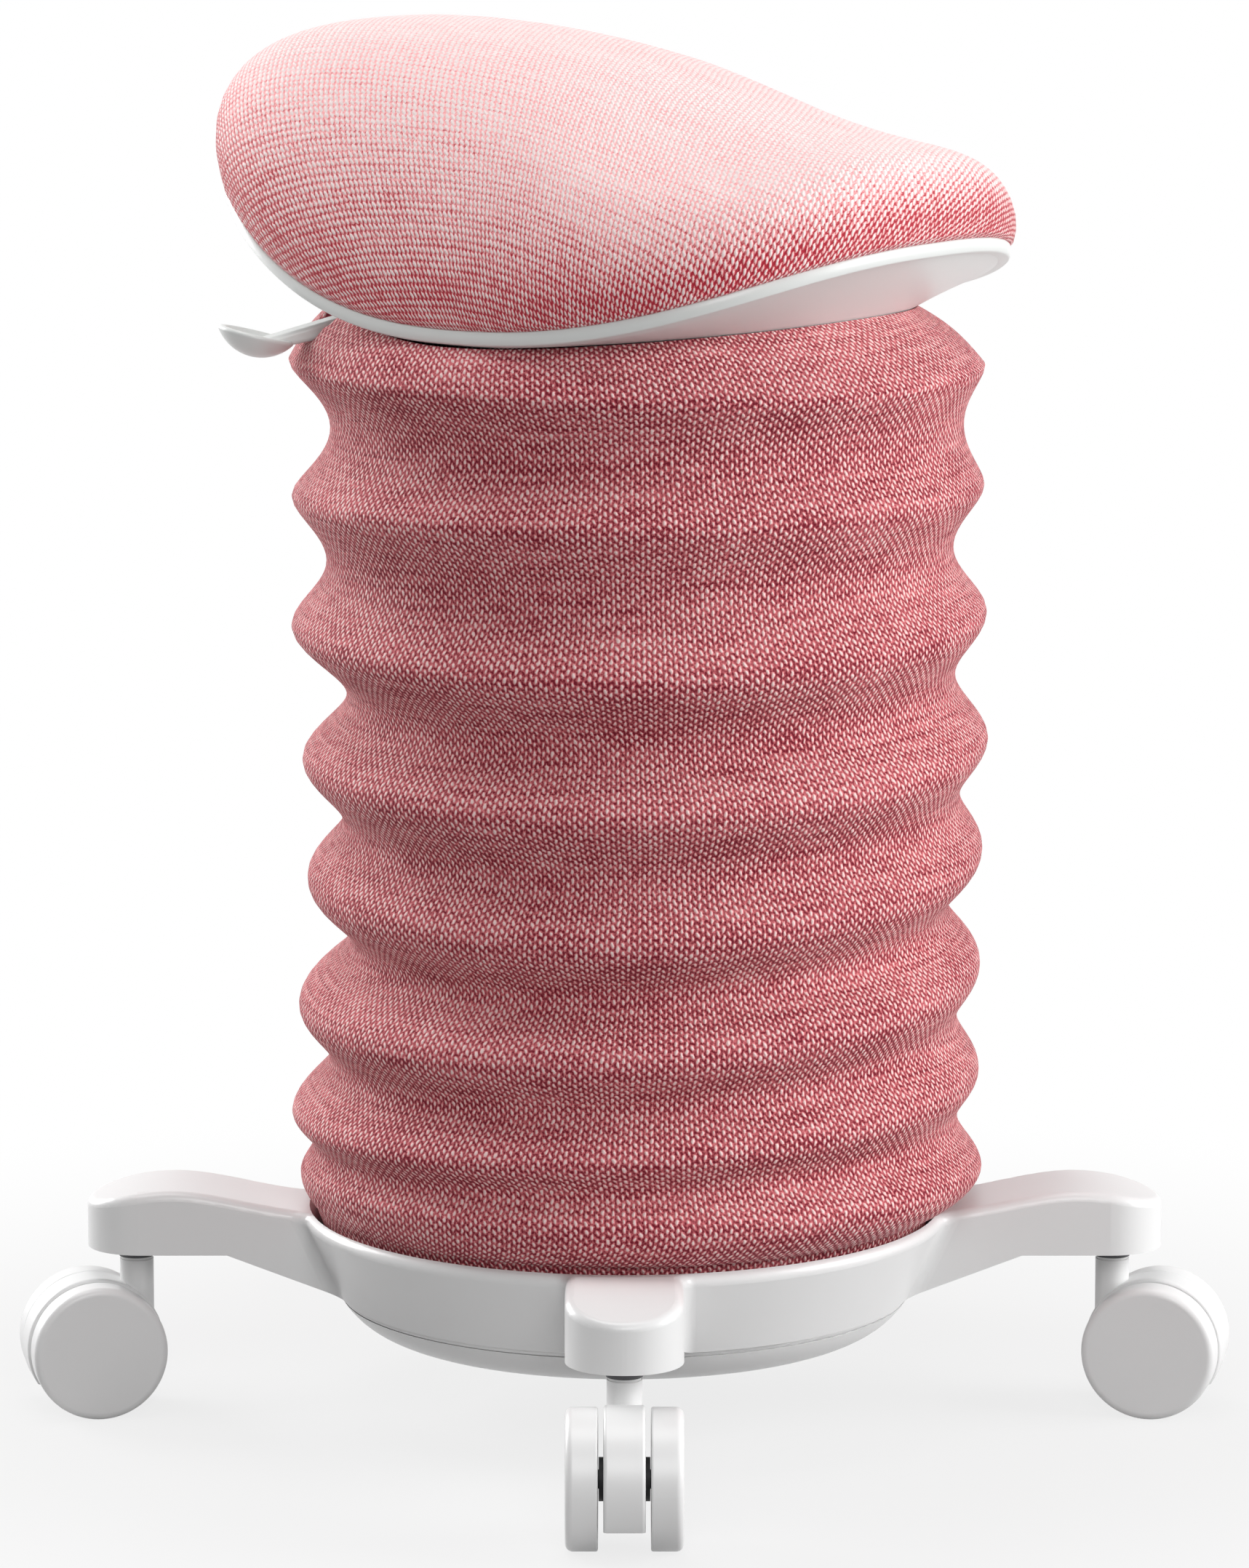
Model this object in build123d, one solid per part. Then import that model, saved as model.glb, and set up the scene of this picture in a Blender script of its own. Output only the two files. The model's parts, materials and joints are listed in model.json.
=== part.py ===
from build123d import *
import os
from math import atan2, copysign, cos, pi, radians, sin, sqrt

# Height-adjustable saddle stool on casters, in millimetres.
# The origin is on the floor under the middle of the base, +Z is up, and the front arm points to -Y.

# Twin-wheel casters
wheel_diameter = 60.0
wheel_width = 13.7
wheel_outer_edge = 3.3
wheel_inner_edge = 1.0
wheel_rim_wall = 4.0
wheel_face_wall = 4.2
wheel_hub_diameter = 22.0
hood_width = 17.5
hood_rise = 0.8
hood_floor_gap = 14.0
hood_edge = 1.6
hood_gap = 2.3
axle_diameter = 8.0
axle_end_wall = 3.7
spacer_diameter = 18.4
caster_trail = 20.0
neck_diameter = 15.0
neck_edge = 0.8
stem_diameter = 11.0
stem_collar_diameter = 13.6
stem_collar_height = 2.2
stem_in_hood = 24.0
stem_in_arm = 17.0
neck_groove_depth = 0.5
neck_groove_height = 1.2
neck_groove_drop = 3.0

# Where each caster sits and which way it points at rest, in degrees about +Z
caster_headings = {
    "front": (270.0, 270.0),
    "right": (0.0, 347.0),
    "back": (90.0, 90.0),
    "left": (180.0, 193.0),
}

# Moulded four-arm base
stem_circle_radius = 218.0
arm_width = 50.0
arm_tip_overhang = 21.5
arm_tip_flat = 2.0
hub_radius = 145.5
hub_taper = 18.5
hub_depth = 40.5
hub_corner_fillet = 7.0
hub_wall = 5.0
hub_rim_top = 93.5
tub_floor_thickness = 5.0
arm_depth = 19.0
arm_slope_radius = 178.0
arm_crest_radius = 201.0
arm_crest_rise = 9.5
arm_tip_rise = 1.5
hub_top_slope = 0.1
arm_tip_slope = 0.35
base_top_edge = 4.0
base_bottom_edge = 2.0
socket_boss_radius = 34.0
socket_boss_lift = 1.0
socket_boss_rise = 10.5
tub_rib_count = 8
tub_rib_thickness = 4.0
tub_rib_height = 12.0
tub_rib_gap = 5.0
arm_pocket_hub_gap = 20.0
arm_pocket_stem_gap = 15.0
arm_pocket_wall = 5.0
arm_pocket_roof = 7.0

# Dished pan under the hub
pan_rim_inset = 0.6
pan_slope_run = 26.0
pan_depth = 15.0
pan_bulge = 3.6
pan_wall = 3.0
pan_screw_circle = 74.0
pan_boss_radius = 7.0
pan_screw_diameter = 5.0
pan_screw_head_diameter = 10.0
pan_screw_head_height = 2.6
pan_screw_bite = 4.0
screw_count = 4

# Gas lift
tube_diameter = 50.0
tube_wall = 2.0
tube_pan_gap = 4.0
tube_length = 230.0
tube_taper = 1.2
tube_floor_thickness = 4.0
bush_length = 58.0
bush_flange_height = 3.0
washer_diameter = 34.0
washer_thickness = 2.0
ball_diameter = 4.0
ball_count = 12
ball_circle_radius = 12.0
cage_thickness = 1.6
rod_diameter = 10.0
rod_end_reach = 3.4
clip_diameter = 17.0
clip_thickness = 1.4
clip_mouth = 6.2
bump_stop_diameter = 22.0
bump_stop_length = 36.0
cylinder_diameter = 28.0
cylinder_wall = 3.0
cylinder_taper = 0.8
gland_length = 16.0
piston_length = 10.0
piston_gap = 6.0
lift_travel = 100.0
valve_diameter = 8.0
valve_rise = 5.0
valve_depth = 22.0

# Knit sleeve over hoops
hoop_shares = (0.042, 0.134, 0.257, 0.395, 0.523, 0.67, 0.813, 0.956)
hoop_left_drops = (3.3, 19.5, 18.0, 13.0, 9.8, 6.5, 5.2, -2.6)
hoop_front_drops = (-5.0, 3.0, 9.0, 12.0, 8.7, 8.0, -1.0, 1.0)
sleeve_ridge_radius = 152.0
sleeve_valley_depth = 15.0
sleeve_flank_depth = 5.5
sleeve_flank_rise = 9.0
sleeve_lean = 6.0
sleeve_thickness = 2.0
sleeve_top_radius = 119.0
sleeve_top_tuck = 15.5
hem_wall_gap = 3.4
hem_tuck_rise = 3.5
hem_tuck_gap = 2.0
hem_fold = 12.0
hem_fold_gap = 2.6
hem_lean = 2.0
hoop_width = 3.0
hoop_height = 3.0
hem_ring_width = 6.0
hem_ring_height = 5.0

# Saddle seat, turned about +Z so that the pommel looks to the front right
seat_yaw = -36.0
seat_shift = 6.4
pommel_reach = 157.8
cantle_reach = 185.0
seat_half_width = 136.0
seat_squareness = 2.66
seat_rise = 395.0
shell_depth = 8.2
pommel_rise = 35.3
cantle_rise = 81.7
rim_power = 2.24
spine_rises = (126.3, 119.3, 105.7, 81.3, 90.3)
arch_power = 2.6
end_power = 9.0
cushion_bulge = 0.03
cushion_tuck_in = 0.025
cushion_seat_in = 0.07
foam_thickness = 38.0
foam_edge_in = 0.14
board_thickness = 9.0
board_share = 0.85
pillar_radius = 7.0
pillar_bite = 0.7
ring_points = 28
under_shares = (0.35, 0.65, board_share, 0.95, 1.0)
board_shares = (0.35, 0.65, board_share)
crown_shares = (0.995, 0.97, 0.92, 0.85, 0.74, 0.6, 0.42, 0.22)

# White shell under the seat
shell_floor_radius = 115.0
shell_wall = 3.2
lip_height = 6.5
lip_thickness = 0.05
lip_crease = 0.035
crease_step = 1.0
shell_centre_hole = 30.0
lever_slot_before = 32.0
lever_slot_past = 20.0
lever_slot_side = 3.0
lever_slot_rise = 15.5

# Seat plate with the height lever
plate_size = 138.0
plate_thickness = 4.0
plate_corner = 14.0
plate_socket_radius = 21.0
plate_socket_drop = 6.0
plate_socket_rise = 10.0
cylinder_stand = 12.0
seat_screw_spacing = 110.0
seat_screw_diameter = 6.0
seat_screw_head_diameter = 11.0
seat_screw_head_height = 3.4
seat_screw_bite = 22.0
lever_angle = 192.0
lever_width = 13.0
lever_depth = 8.5
lever_end_depth = 5.0
lever_edge = 2.0
lever_pivot_radius = 52.0
lever_pivot_rise = 15.3
lever_knee_radius = 122.0
lever_knee_drop = 20.7
lever_end_drop = 8.6
lever_nose = 5.0
lever_pin_diameter = 5.0
ear_thickness = 4.0
ear_side_gap = 0.5
ear_half_length = 7.0
ear_rise = 6.0
paddle_bowl_radius = 20.0
paddle_depth = 10.5
paddle_thickness = 3.0
paddle_lip = 1.2
paddle_reach = 16.8
paddle_bar_gap = 2.8
paddle_rim_rise = 4.8
paddle_tilt = 14.0

# Clearances
running_clearance = 0.05
press_clearance = 0.02
seat_clearance = 0.3

# Heights and radii that follow from the sizes above
wheel_radius = wheel_diameter / 2
axle_height = wheel_radius
wheel_centre = hood_width / 2 + hood_gap + wheel_width / 2
hub_underside = hub_rim_top - hub_depth
hub_foot_radius = hub_radius - hub_taper
arm_underside = hub_rim_top - arm_depth
arm_crest_height = hub_rim_top + arm_crest_rise
arm_tip_height = hub_rim_top + arm_tip_rise
arm_tip_radius = stem_circle_radius + arm_tip_overhang
arm_tip_corner = (arm_width - arm_tip_flat) / 2
arm_pocket_start = hub_radius + arm_pocket_hub_gap
arm_pocket_end = stem_circle_radius - arm_pocket_stem_gap
stem_collar_bottom = arm_underside - stem_collar_height
neck_top = stem_collar_bottom - seat_clearance
tub_floor = hub_underside + tub_floor_thickness
pan_floor = hub_underside - pan_depth
pan_rim_radius = hub_foot_radius - pan_rim_inset
pan_floor_radius = pan_rim_radius - pan_slope_run
tube_bottom = pan_floor + pan_wall + tube_pan_gap
tube_top = tube_bottom + tube_length
socket_boss_bottom = tube_bottom + socket_boss_lift
socket_boss_top = hub_rim_top + socket_boss_rise
tube_radius = tube_diameter / 2
tube_bore = tube_radius - tube_wall
rod_radius = rod_diameter / 2
cylinder_radius = cylinder_diameter / 2
cylinder_bore = cylinder_radius - cylinder_wall
bearing_bottom = tube_bottom + tube_floor_thickness
bearing_top = bearing_bottom + 2 * washer_thickness + ball_diameter
shell_floor = hub_rim_top + seat_rise
rim_low = shell_floor + shell_depth
spine_heights = [rim_low + rise for rise in spine_rises]
cushion_tuck = 1.0 - cushion_tuck_in
cushion_seat = 1.0 - cushion_seat_in
foam_edge_inset = 1.0 - foam_edge_in
plate_bottom = shell_floor + shell_wall
plate_top = plate_bottom + plate_thickness
cylinder_top = plate_top + cylinder_stand
valve_top = cylinder_top + valve_rise
cylinder_bottom = bearing_top + bump_stop_length + seat_clearance + lift_travel
hem_bottom = tub_floor + seat_clearance
hem_tuck_height = hub_rim_top + hem_tuck_rise
hoop_heights = [hub_rim_top + share * seat_rise for share in hoop_shares]
sleeve_top_height = shell_floor + sleeve_top_tuck
lever_pivot_height = plate_top + lever_pivot_rise
lever_knee_height = lever_pivot_height - lever_knee_drop
lever_end_height = lever_knee_height - lever_end_drop
lever_slot_start = lever_knee_radius - lever_slot_before
lever_slot_end = lever_knee_radius + lever_slot_past
lever_slot_top = shell_floor + lever_slot_rise
paddle_centre_radius = sleeve_ridge_radius - sleeve_lean + paddle_reach
lever_end_radius = paddle_centre_radius - paddle_bar_gap


def hub_wall_radius(height):
    """Outer radius of the hub's tapered wall at a height."""
    return hub_radius - hub_taper * (hub_rim_top - height) / hub_depth


tub_radius = hub_radius - hub_wall
hem_radius = hub_wall_radius(hem_bottom) - hub_wall - hem_wall_gap
tub_rib_reach = hem_radius - hem_ring_width - tub_rib_gap


def upright(radius, bottom, top):
    """A round bar on the Z axis between two heights."""
    return Pos(0, 0, bottom) * Cylinder(radius, top - bottom, align=(Align.CENTER, Align.CENTER, Align.MIN))


def washer(outer, inner, bottom, top):
    """A flat ring on the Z axis between two heights."""
    return upright(outer, bottom, top) - upright(inner, bottom, top)


def turned(*points):
    """A solid of revolution about Z from its (radius, height) corners."""
    outline = Polyline([(radius, 0, height) for radius, height in points], close=True)
    return revolve(make_face(outline), Axis.Z)


def plan_radius(point):
    """How far a point is from the Z axis."""
    return sqrt(point.X**2 + point.Y**2)


def around(radius, count, start=0.0):
    """Places spread evenly on a circle about Z."""
    step = 360.0 / count
    return [Rot(0, 0, start + step * index) * Pos(radius, 0, 0) for index in range(count)]


# Casters: made at the Z axis with the wheel trailing to +X, then set under their arms


def make_wheel():
    """A plain disc wheel with its axle on Z, its hollow inner side downwards."""
    half = wheel_width / 2
    disc = upright(wheel_radius, -half, half)
    disc = fillet(disc.edges().group_by(Axis.Z)[-1], wheel_outer_edge)
    disc = fillet(disc.edges().group_by(Axis.Z)[0], wheel_inner_edge)
    hollow = washer(wheel_radius - wheel_rim_wall, wheel_hub_diameter / 2, -half, half - wheel_face_wall)
    bore = upright(axle_diameter / 2 + running_clearance, -half, half - axle_end_wall + seat_clearance)
    return disc - hollow - bore


def make_hood():
    """The body between the wheels: a disc cut off above the floor, with the swivel neck on its inner side."""
    hood_radius = wheel_radius + hood_rise
    disc = Pos(caster_trail, axle_height) * Circle(hood_radius)
    below = Rectangle(3 * hood_radius, hood_radius, align=(Align.CENTER, Align.MAX))
    below = Pos(caster_trail, hood_floor_gap) * below
    profile = Plane.XZ * (disc - below)
    body = extrude(profile, hood_width / 2, both=True)
    body = fillet(body.edges().filter_by(GeomType.CIRCLE), hood_edge)
    neck = upright(neck_diameter / 2, axle_height, neck_top)
    neck = fillet(neck.edges().group_by(Axis.Z)[-1], neck_edge)
    groove_top = neck_top - neck_groove_drop
    groove = washer(
        neck_diameter, neck_diameter / 2 - neck_groove_depth, groove_top - neck_groove_height, groove_top
    )
    stem_hole = upright(stem_diameter / 2 + running_clearance, neck_top - stem_in_hood, neck_top)
    axle_hole = Pos(caster_trail, 0, axle_height) * Rot(90, 0, 0) * Cylinder(
        axle_diameter / 2 + press_clearance, 2 * hood_width
    )
    return body + (neck - groove) - stem_hole - axle_hole


def make_stem():
    """The steel stem with the collar that carries the arm."""
    pin_bottom = neck_top - stem_in_hood + seat_clearance
    pin = upright(stem_diameter / 2, pin_bottom, arm_underside + stem_in_arm - seat_clearance)
    collar = upright(stem_collar_diameter / 2, stem_collar_bottom, arm_underside)
    return pin + collar


def make_axle():
    """The axle pin across the hood, reaching into both wheels."""
    length = hood_width + 2 * (hood_gap + wheel_width - axle_end_wall)
    return Pos(caster_trail, 0, axle_height) * Rot(90, 0, 0) * Cylinder(axle_diameter / 2, length)


def make_spacers():
    """The two dark collars that keep the wheels off the hood."""
    inner_face = hood_width / 2 + press_clearance
    outer_face = hood_width / 2 + hood_gap - seat_clearance
    ring = washer(spacer_diameter / 2, axle_diameter / 2 + press_clearance, inner_face, outer_face)
    centre = Pos(caster_trail, 0, axle_height)
    return [centre * Rot(-90, 0, 0) * ring, centre * Rot(90, 0, 0) * ring]


def make_casters():
    """All the pieces of the four casters, by node name."""
    pieces = {}
    for side, (arm_angle, heading) in caster_headings.items():
        place = Rot(0, 0, arm_angle) * Pos(stem_circle_radius, 0, 0) * Rot(0, 0, heading - arm_angle)
        centre = place * Pos(caster_trail, 0, axle_height)
        pieces[f"caster_stem_{side}"] = [place * make_stem()]
        pieces[f"caster_hood_{side}"] = [place * make_hood()]
        pieces[f"caster_axle_{side}"] = [place * make_axle()]
        pieces[f"caster_spacers_{side}"] = [place * spacer for spacer in make_spacers()]
        pieces[f"wheel_{side}_a"] = [centre * Pos(0, wheel_centre, 0) * Rot(-90, 0, 0) * make_wheel()]
        pieces[f"wheel_{side}_b"] = [centre * Pos(0, -wheel_centre, 0) * Rot(90, 0, 0) * make_wheel()]
    return pieces


# Base


def tube_socket(clearance):
    """The tapered foot of the lift tube, as a solid."""
    foot_radius = tube_radius - tube_taper
    return turned(
        (0, tube_bottom),
        (foot_radius + clearance, tube_bottom),
        (tube_radius + clearance, socket_boss_top),
        (0, socket_boss_top),
    )


def make_star_base():
    """Tapered hub, four humped arms and the tapered socket, moulded in one."""
    reach = arm_tip_radius + arm_width
    roof = arm_crest_height + arm_width
    body = turned(
        (0, hub_underside), (hub_foot_radius, hub_underside), (hub_wall_radius(roof), roof), (0, roof)
    )
    for heading in (0, 90):
        plan = RectangleRounded(2 * arm_tip_radius, arm_width, arm_tip_corner)
        arms = extrude(plan, roof - hub_underside)
        body += Rot(0, 0, heading) * Pos(0, 0, hub_underside) * arms
    low, high = hub_foot_radius - arm_width, hub_wall_radius(roof) + 1
    between = [edge for edge in body.edges() if low < plan_radius(edge.center()) < high]
    corners = [edge for edge in between if edge.bounding_box().size.Z > hub_depth]
    body = fillet(corners, hub_corner_fillet)
    end_height = arm_tip_height - arm_tip_slope * arm_width
    top = Spline(
        (tub_radius, 0, hub_rim_top),
        (arm_crest_radius, 0, arm_crest_height),
        (reach, 0, end_height),
        tangents=((1, 0, hub_top_slope), (1, 0, -arm_tip_slope)),
    )
    underside = Polyline(
        (reach, 0, end_height),
        (reach, 0, arm_underside),
        (arm_slope_radius, 0, arm_underside),
        (hub_foot_radius, 0, hub_underside + base_bottom_edge),
    )
    inset = base_bottom_edge * (1 - sqrt(0.5))
    corner = ThreePointArc(
        (hub_foot_radius, 0, hub_underside + base_bottom_edge),
        (hub_foot_radius - inset, 0, hub_underside + inset),
        (hub_foot_radius - base_bottom_edge, 0, hub_underside),
    )
    tub = Polyline(
        (hub_foot_radius - base_bottom_edge, 0, hub_underside),
        (0, 0, hub_underside),
        (0, 0, tub_floor),
        (hub_wall_radius(tub_floor) - hub_wall, 0, tub_floor),
        (tub_radius, 0, hub_rim_top),
    )
    section = make_face([top, underside, corner, tub])
    body = body & revolve(section, Axis.Z)
    outline = [edge for edge in body.edges() if plan_radius(edge.center()) > tub_radius + hub_wall / 2]
    upper = [edge for edge in outline if edge.bounding_box().min.Z > hub_rim_top - 1]
    body = fillet(upper, base_top_edge)
    boss = upright(socket_boss_radius, socket_boss_bottom, socket_boss_top)
    body = body + boss
    for place in around(0, tub_rib_count, 180.0 / tub_rib_count):
        rib = Pos(0, 0, tub_floor) * Box(
            tub_rib_reach, tub_rib_thickness, tub_rib_height, align=(Align.MIN, Align.CENTER, Align.MIN)
        )
        body += place * rib
    body -= tube_socket(running_clearance)
    stem_hole = upright(stem_diameter / 2 + running_clearance, arm_underside, arm_underside + stem_in_arm)
    for place in around(stem_circle_radius, len(caster_headings)):
        body -= place * stem_hole
    pocket_width = arm_width / 2 - 1.5 * arm_pocket_wall
    pocket = Box(
        arm_pocket_end - arm_pocket_start,
        pocket_width,
        arm_crest_height - arm_pocket_roof - hub_underside,
        align=(Align.CENTER, Align.MIN, Align.MIN),
    )
    pocket = Pos(0, arm_pocket_wall / 2, hub_underside) * pocket
    pocket = fillet(pocket.edges().filter_by(Axis.Z), arm_pocket_wall / 2)
    for place in around((arm_pocket_start + arm_pocket_end) / 2, len(caster_headings)):
        body -= place * pocket
        body -= place * mirror(pocket, Plane.XZ)
    screw_top = hub_underside + pan_screw_bite
    screw_hole = upright(pan_screw_diameter / 2 + press_clearance, hub_underside, screw_top)
    for place in around(pan_screw_circle, screw_count, 180.0 / screw_count):
        body -= place * screw_hole
    return body


def pan_curve(floor_radius, floor_height, rim_radius):
    """The bulging side of the dish, from its floor up to its rim under the hub."""
    run, rise = rim_radius - floor_radius, hub_underside - floor_height
    chord = sqrt(run**2 + rise**2)
    middle_radius = (floor_radius + rim_radius) / 2 + pan_bulge * rise / chord
    middle_height = (floor_height + hub_underside) / 2 - pan_bulge * run / chord
    return ThreePointArc(
        (floor_radius, 0, floor_height), (middle_radius, 0, middle_height), (rim_radius, 0, hub_underside)
    )


def make_base_pan():
    """The bulging dish that closes the hub from below, with a boss at each screw."""
    inner_floor = pan_floor + pan_wall
    inner_floor_radius = pan_floor_radius - pan_wall
    inner_rim_radius = pan_rim_radius - 2 * pan_wall
    outside = pan_curve(pan_floor_radius, pan_floor, pan_rim_radius)
    inside = pan_curve(inner_floor_radius, inner_floor, inner_rim_radius)
    rim = Line((pan_rim_radius, 0, hub_underside), (inner_rim_radius, 0, hub_underside))
    floor = Polyline(
        (inner_floor_radius, 0, inner_floor),
        (0, 0, inner_floor),
        (0, 0, pan_floor),
        (pan_floor_radius, 0, pan_floor),
    )
    pan = revolve(make_face([outside, rim, inside, floor]), Axis.Z)
    head_top = pan_floor + pan_screw_head_height
    head = upright(pan_screw_head_diameter / 2 + press_clearance, pan_floor, head_top)
    shank = upright(pan_screw_diameter / 2 + press_clearance, pan_floor, hub_underside)
    for place in around(pan_screw_circle, screw_count, 180.0 / screw_count):
        pan += place * upright(pan_boss_radius, pan_floor, hub_underside)
        pan -= place * (head + shank)
    return pan


def make_pan_screws():
    """The pan's screws, with their heads flush in the dish."""
    head = upright(pan_screw_head_diameter / 2, pan_floor, pan_floor + pan_screw_head_height)
    shank = upright(pan_screw_diameter / 2, pan_floor, hub_underside + pan_screw_bite - seat_clearance)
    return [place * (head + shank) for place in around(pan_screw_circle, screw_count, 180.0 / screw_count)]


# Gas lift


def make_lift_tube():
    """The outer tube, tapered at its foot, with a drilled floor."""
    outside = tube_socket(0) + upright(tube_radius, socket_boss_top, tube_top)
    inside = upright(tube_bore - tube_taper, bearing_bottom, tube_top)
    inside = inside + upright(tube_bore, socket_boss_top, tube_top)
    return outside - inside - upright(rod_radius + running_clearance, tube_bottom, bearing_bottom)


def make_guide_bush():
    """The plastic bush in the mouth of the outer tube."""
    barrel = washer(
        tube_bore - press_clearance, cylinder_radius + running_clearance, tube_top - bush_length, tube_top
    )
    flange = washer(tube_radius, cylinder_radius + running_clearance, tube_top, tube_top + bush_flange_height)
    return barrel + flange


def make_thrust_bearing():
    """Lower washer, caged balls and upper washer under the rod's shoulder."""
    hole = rod_radius + running_clearance
    lower_top = bearing_bottom + washer_thickness
    upper_bottom = lower_top + ball_diameter
    middle = lower_top + ball_diameter / 2
    cage = washer(washer_diameter / 2, hole, middle - cage_thickness / 2, middle + cage_thickness / 2)
    ball = Sphere(ball_diameter / 2 - press_clearance)
    balls = []
    for place in around(ball_circle_radius, ball_count):
        cage -= place * Pos(0, 0, middle) * Sphere(ball_diameter / 2 + running_clearance)
        balls.append(place * Pos(0, 0, middle) * ball)
    return {
        "thrust_washer_lower": [washer(washer_diameter / 2, hole, bearing_bottom, lower_top)],
        "thrust_balls": balls,
        "thrust_cage": [cage],
        "thrust_washer_upper": [washer(washer_diameter / 2, hole, upper_bottom, bearing_top)],
    }


def make_piston_rod():
    """The rod, its shoulder over the bearing and its clip groove under the tube's floor."""
    rod_top = cylinder_bottom + gland_length + piston_gap
    rod = upright(rod_radius, tube_bottom - rod_end_reach, rod_top)
    clip_bottom = tube_bottom - seat_clearance - clip_thickness
    groove = washer(
        rod_diameter, rod_radius - clip_thickness, clip_bottom - press_clearance, clip_bottom + clip_thickness
    )
    return rod - groove


def make_retaining_clip():
    """The split clip in the rod's groove."""
    clip_bottom = tube_bottom - seat_clearance - clip_thickness
    inner = rod_radius - clip_thickness + press_clearance
    ring = washer(clip_diameter / 2, inner, clip_bottom, clip_bottom + clip_thickness - press_clearance)
    mouth = Pos(0, 0, clip_bottom) * Box(
        clip_diameter, clip_mouth, 2 * clip_thickness, align=(Align.MIN, Align.CENTER, Align.CENTER)
    )
    return ring - mouth


def make_piston():
    """The piston on the rod's upper end."""
    bottom = cylinder_bottom + gland_length + piston_gap
    return upright(cylinder_bore - running_clearance, bottom, bottom + piston_length)


def make_cylinder():
    """The gas cylinder: straight outside, tapered where the seat plate grips it."""
    taper_bottom = plate_bottom - plate_socket_drop
    outside = turned(
        (0, cylinder_bottom),
        (cylinder_radius, cylinder_bottom),
        (cylinder_radius, taper_bottom),
        (cylinder_radius - cylinder_taper, cylinder_top),
        (0, cylinder_top),
    )
    inside = upright(cylinder_bore, cylinder_bottom, taper_bottom - cylinder_wall)
    valve_hole = upright(valve_diameter / 2 + running_clearance, cylinder_top - valve_depth, cylinder_top)
    return outside - inside - valve_hole


def make_gland():
    """The seal block that closes the cylinder round the rod."""
    gland_top = cylinder_bottom + gland_length
    return washer(cylinder_bore - press_clearance, rod_radius + running_clearance, cylinder_bottom, gland_top)


def make_valve_pin():
    """The release pin at the top of the cylinder, with room under it to be pressed."""
    return upright(valve_diameter / 2, cylinder_top - valve_depth + 2 * valve_rise, valve_top)


# Saddle forms: u runs from the cantle (-1) to the pommel (+1), v across the seat


def rim_height(u):
    """Height of the seat's edge."""
    rise = pommel_rise if u > 0 else cantle_rise
    return rim_low + rise * abs(u) ** rim_power


def spine_height(u):
    """Height of the cushion's ridge line, a smooth curve through five evenly spaced heights."""
    total = 0.0
    stations = [-1.0 + 2.0 * index / (len(spine_heights) - 1) for index in range(len(spine_heights))]
    for here, height in zip(stations, spine_heights):
        share = 1.0
        for other in stations:
            if other != here:
                share *= (u - other) / (here - other)
        total += share * height
    return total


def arch(u, v):
    """How far the saddle's section has risen from its edge (0) to its ridge (1)."""
    room = max(1.0 - abs(u) ** seat_squareness, 0.0) ** (1.0 / seat_squareness)
    across = min(abs(v) / room, 1.0) if room > 1e-6 else 1.0
    ends = sqrt(max(1.0 - abs(u) ** end_power, 0.0))
    return ends * sqrt(1.0 - across**arch_power)


def seat_plan(u, v):
    """Plan position of a unit point of the seat."""
    reach = pommel_reach if u > 0 else cantle_reach
    return Vector(reach * u + seat_shift, seat_half_width * v, 0)


def unit_outline(turn):
    """A point on the rounded-square outline of the seat, in unit coordinates."""
    along, across = cos(turn), sin(turn)
    power = 2.0 / seat_squareness
    return copysign(abs(along) ** power, along), copysign(abs(across) ** power, across)


def saddle_ring(place):
    """A closed curve round the seat; place turns an outline point into a position."""
    turns = [2.0 * pi * index / ring_points for index in range(ring_points)]
    return Wire([Spline([place(*unit_outline(turn)) for turn in turns], periodic=True)])


def cushion_top(share, size):
    """A ring on the cushion's upper surface, at a share of the outline drawn at a given size."""

    def place(u, v):
        u, v = u * share, v * share
        height = rim_height(u) + (spine_height(u) - rim_height(u)) * arch(u, v)
        return seat_plan(u * size, v * size) + Vector(0, 0, height)

    return place


def cushion_under(share, drop):
    """A ring on the hollow underside of the cushion, lowered by a drop for the board that fills it."""

    def place(u, v):
        u, v = u * share, v * share
        edge = rim_height(u * foam_edge_inset) + seat_clearance
        crown = spine_height(u * foam_edge_inset) - foam_thickness
        height = edge + (crown - edge) * arch(u, v) - drop
        return seat_plan(u * foam_edge_inset, v * foam_edge_inset) + Vector(0, 0, height)

    return place


def level_ring(size, rise):
    """A ring at a size of the outline, a rise above the seat's edge."""

    def place(u, v):
        return seat_plan(u * size, v * size) + Vector(0, 0, rim_height(u) + rise)

    return place


def shell_blend(size, drop, share, floor_radius, floor_height):
    """A ring part of the way from the shell's edge to its round floor."""

    def place(u, v):
        edge = seat_plan(u * size, v * size)
        turn = atan2(edge.Y, edge.X)
        foot = Vector(floor_radius * cos(turn), floor_radius * sin(turn), floor_height)
        edge = edge + Vector(0, 0, rim_height(u) - drop)
        return edge + (foot - edge) * share

    return place


def make_cushion():
    """Padded saddle: crowned over the top, drawn in at its lower edge, hollow under the board."""
    under = [saddle_ring(cushion_under(share, 0)) for share in under_shares]
    edge = [saddle_ring(level_ring(size, seat_clearance)) for size in (cushion_seat, cushion_tuck)]
    full = 1.0 + cushion_bulge
    over = [saddle_ring(cushion_top(share, full)) for share in crown_shares]
    low = Vertex(*cushion_under(0, 0)(0, 0))
    high = Vertex(*cushion_top(0, full)(0, 0))
    return Solid.make_loft([low] + under + edge + over + [high], True)


def screw_places():
    """The seat screws' places, square with the lever."""
    half = seat_screw_spacing / 2
    turn = Rot(0, 0, lever_angle)
    return [turn * Pos(x, y, 0) for x in (-half, half) for y in (-half, half)]


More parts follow.
